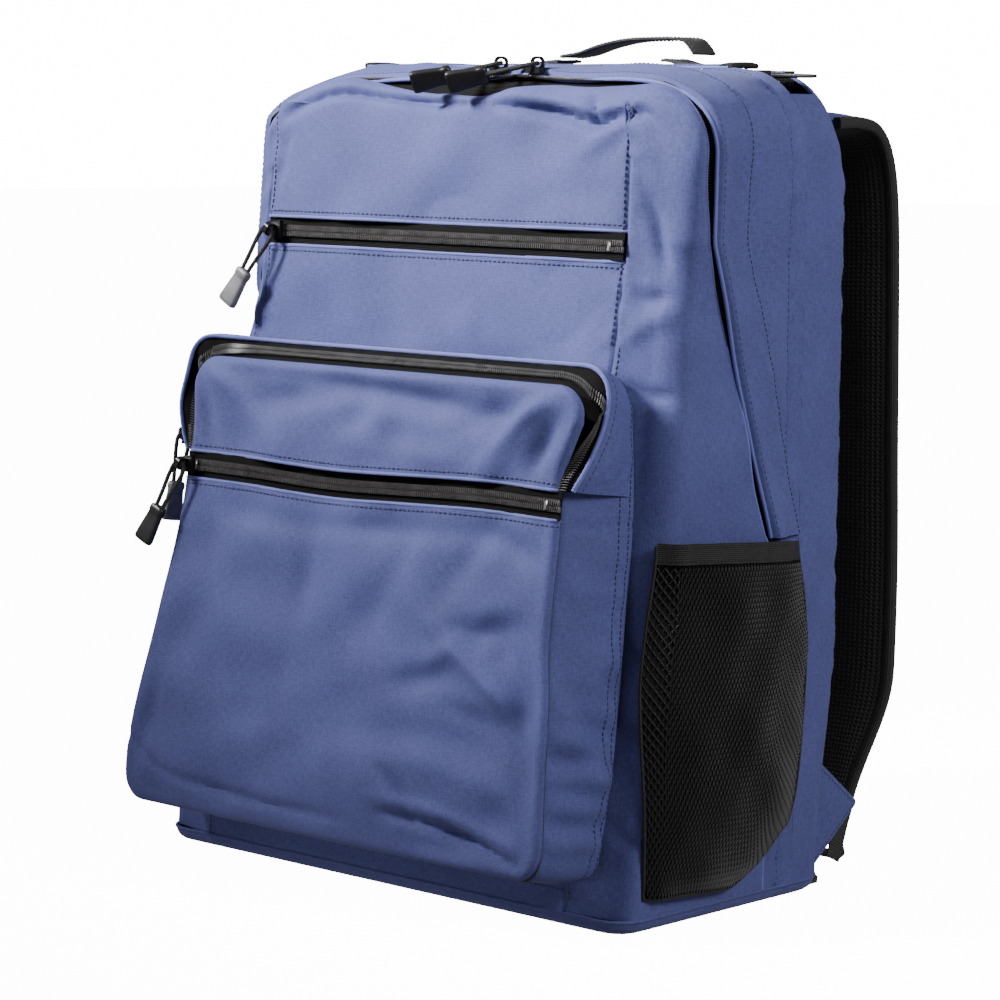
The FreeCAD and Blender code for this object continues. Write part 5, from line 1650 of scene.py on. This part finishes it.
def make_strap(word, side):
    """A padded strap with webbing sewn down its middle."""
    piece = Piece("strap_" + word, blue, thread, binding, webbing, air_mesh)
    line, across, out, puff = (part[14:-2] for part in make_strap_pad(piece, side))
    centre = line + out * (puff[:, 13] + 1.2)[:, None]
    flat_bar(piece, centre, across, 24.0, 1.8, INK_STRAP_WEB)
    for edge in (-1, 1):
        piece.stitches(centre + across * edge * 9.5 + out * 1.0, out, INK_THREAD, PAD_SEWING)
    for far in (0.18, 0.42, 0.66, 0.9):
        row = int(len(centre) * far)
        ahead = unit(centre[row + 1] - centre[row - 1])
        span = np.linspace(-9.5, 9.5, 10)[:, None] * across[row]
        for step in (-1.6, 1.6):
            bar = centre[row] + span + out[row] + ahead * step
            piece.stitches(bar, repeated(out[row], len(bar)), INK_THREAD, BAR_SEWING)
    piece.make("strap_" + word, "blue_fabric", "shoulder_strap_" + word)


def make_wing(word, side):
    """A triangular wing sewn low on the side, slightly curved, with the lower webbing on it."""
    wing = Piece("strap_anchor_" + word, *CLOTH)
    low, tip, high = (np.array(corner) for corner in ((BACK - 16, 10.0), (134.0, 45.0), (BACK - 14, 78.0)))
    u, v = np.meshgrid(np.linspace(0, 1, 22), np.linspace(0, 1, 22), indexing="ij")
    base = low + (high - low) * u[..., None]
    points = base * (1 - v[..., None]) + tip * v[..., None]
    bow = 1.2 * np.sin(np.pi * u) * np.sin(np.pi * v)
    grid = np.stack([side * (179.6 + bow), points[..., 0], points[..., 1]], -1)[:, :-1]
    out = wing.cloth(grid, 3.2, away=np.array((0.0, *tip)))
    for edge in ("first", "last"):
        seam_line(wing, grid, out, edge, 3.0, sewing=WEB_SEWING)
    wing.make("pack", "blue_fabric", "strap_wing_" + word)
    web = Piece("lower_strap_" + word, webbing, black_thread)
    line = smooth_line([(0, 130.5, 44), (0, 126, 34), (0, 121.5, 22), (0, 117.6, 12.4)], 2.0)
    line[:, 0] = side * 174.5
    across = repeated(unit(np.array((0, 0.9, -0.42))), len(line))
    out = flat_bar(web, line, across, 12.5, 2.0)
    for edge in (-1, 1):
        for face in (-1, 1):
            row = line + across * edge * 4.6 + out * face * 1.1
            web.stitches(row, out * face, INK_THREAD, LOW_WEB_SEWING)
    web.make("pack", "black_webbing", "lower_webbing_" + word)


INK_PAD_EDGE, INK_PAD_THREAD = 1, 2


def pillow(name, node, radius, depth, seed, slot, *materials, fill=0.5):
    """A sewn pad on the back: flat at its seam, full in the middle, with soft dents."""
    piece = Piece(name, *materials)
    low, high = corners(node)
    middle, size = (low + high) / 2, (high - low) / 2
    u, v = np.meshgrid(np.linspace(-1, 1, 46), np.linspace(-1, 1, max(40, int(size[2] / 2.2))), indexing="ij")
    half = size[0] - corner_cut(np.abs(v) * size[2], size[2], radius)
    distance = np.minimum((1 - np.abs(u)) * half, (1 - np.abs(v)) * size[2])
    flat = np.stack([middle[0] + u * half, 0 * u, middle[2] + v * size[2]], -1)
    lumps = 0.9 * rough(flat, 46, seed) + 0.4 * rough(flat, 15, seed + 1)
    rise = depth * (1 - np.exp(-distance / 5.5)) + lumps * (1 - np.exp(-distance / 8))
    beside = np.exp(-distance / 4) * (1 - np.exp(-distance / 1.5))
    pucker = 0.5 * np.sin((flat[..., 2] + flat[..., 0]) / 2.6) * beside
    grid = np.stack([flat[..., 0], BACK + 1.2 + rise + pucker, flat[..., 2]], -1)
    out = piece.cloth(grid, 1.5, away=np.array((middle[0], 0.0, middle[2])))
    for edge in ("first", "last", "left", "right"):
        piece.cord(inset_line(grid, out, 0.6, edge)[0], 1.7, INK_PAD_EDGE)
        seam_line(piece, grid, out, edge, 4.5, INK_PAD_THREAD, PAD_SEWING)
    piece.make("pack", slot, node)


AIR_PAD = ("air_mesh", air_mesh, binding, black_thread)
for word, side in SIDES:
    make_strap(word, side)
    make_wing(word, side)
    pillow("pad_" + word, "back_pad_" + word, 16, 10.0, 101 + side, *AIR_PAD)
pillow("pad_lumbar", "lumbar_pad", 16, 10.0, 105, *AIR_PAD)
# The yoke's edge cords are in the lighter blue, a painted highlight along its seams.
pillow("yoke", "strap_yoke", 8, 2.6, 108, "blue_fabric", blue, highlight_blue, thread, fill=0.2)


# ---------------------------------------------------------------- CAD pieces that keep their shape

def keep(material, *nodes):
    """Show CAD nodes as they are, in a material."""
    for name in nodes:
        node = frame["nodes"][name]
        node.data.materials.clear()
        node.data.materials.append(material)


inside_lining = moulded("lining_cloth_inside", LINING, 0.75, grain=0.0008)
keep(inside_lining, "divider_panel", "upper_pocket_lining")
keep(board, "base_board", "frame_sheet")
keep(plastic, "ladder_lock_left", "ladder_lock_right")
keep(enamel, *[name + "_slider" for name in ("upper", "slash", "pocket", "main_left", "main_right", "rear")])
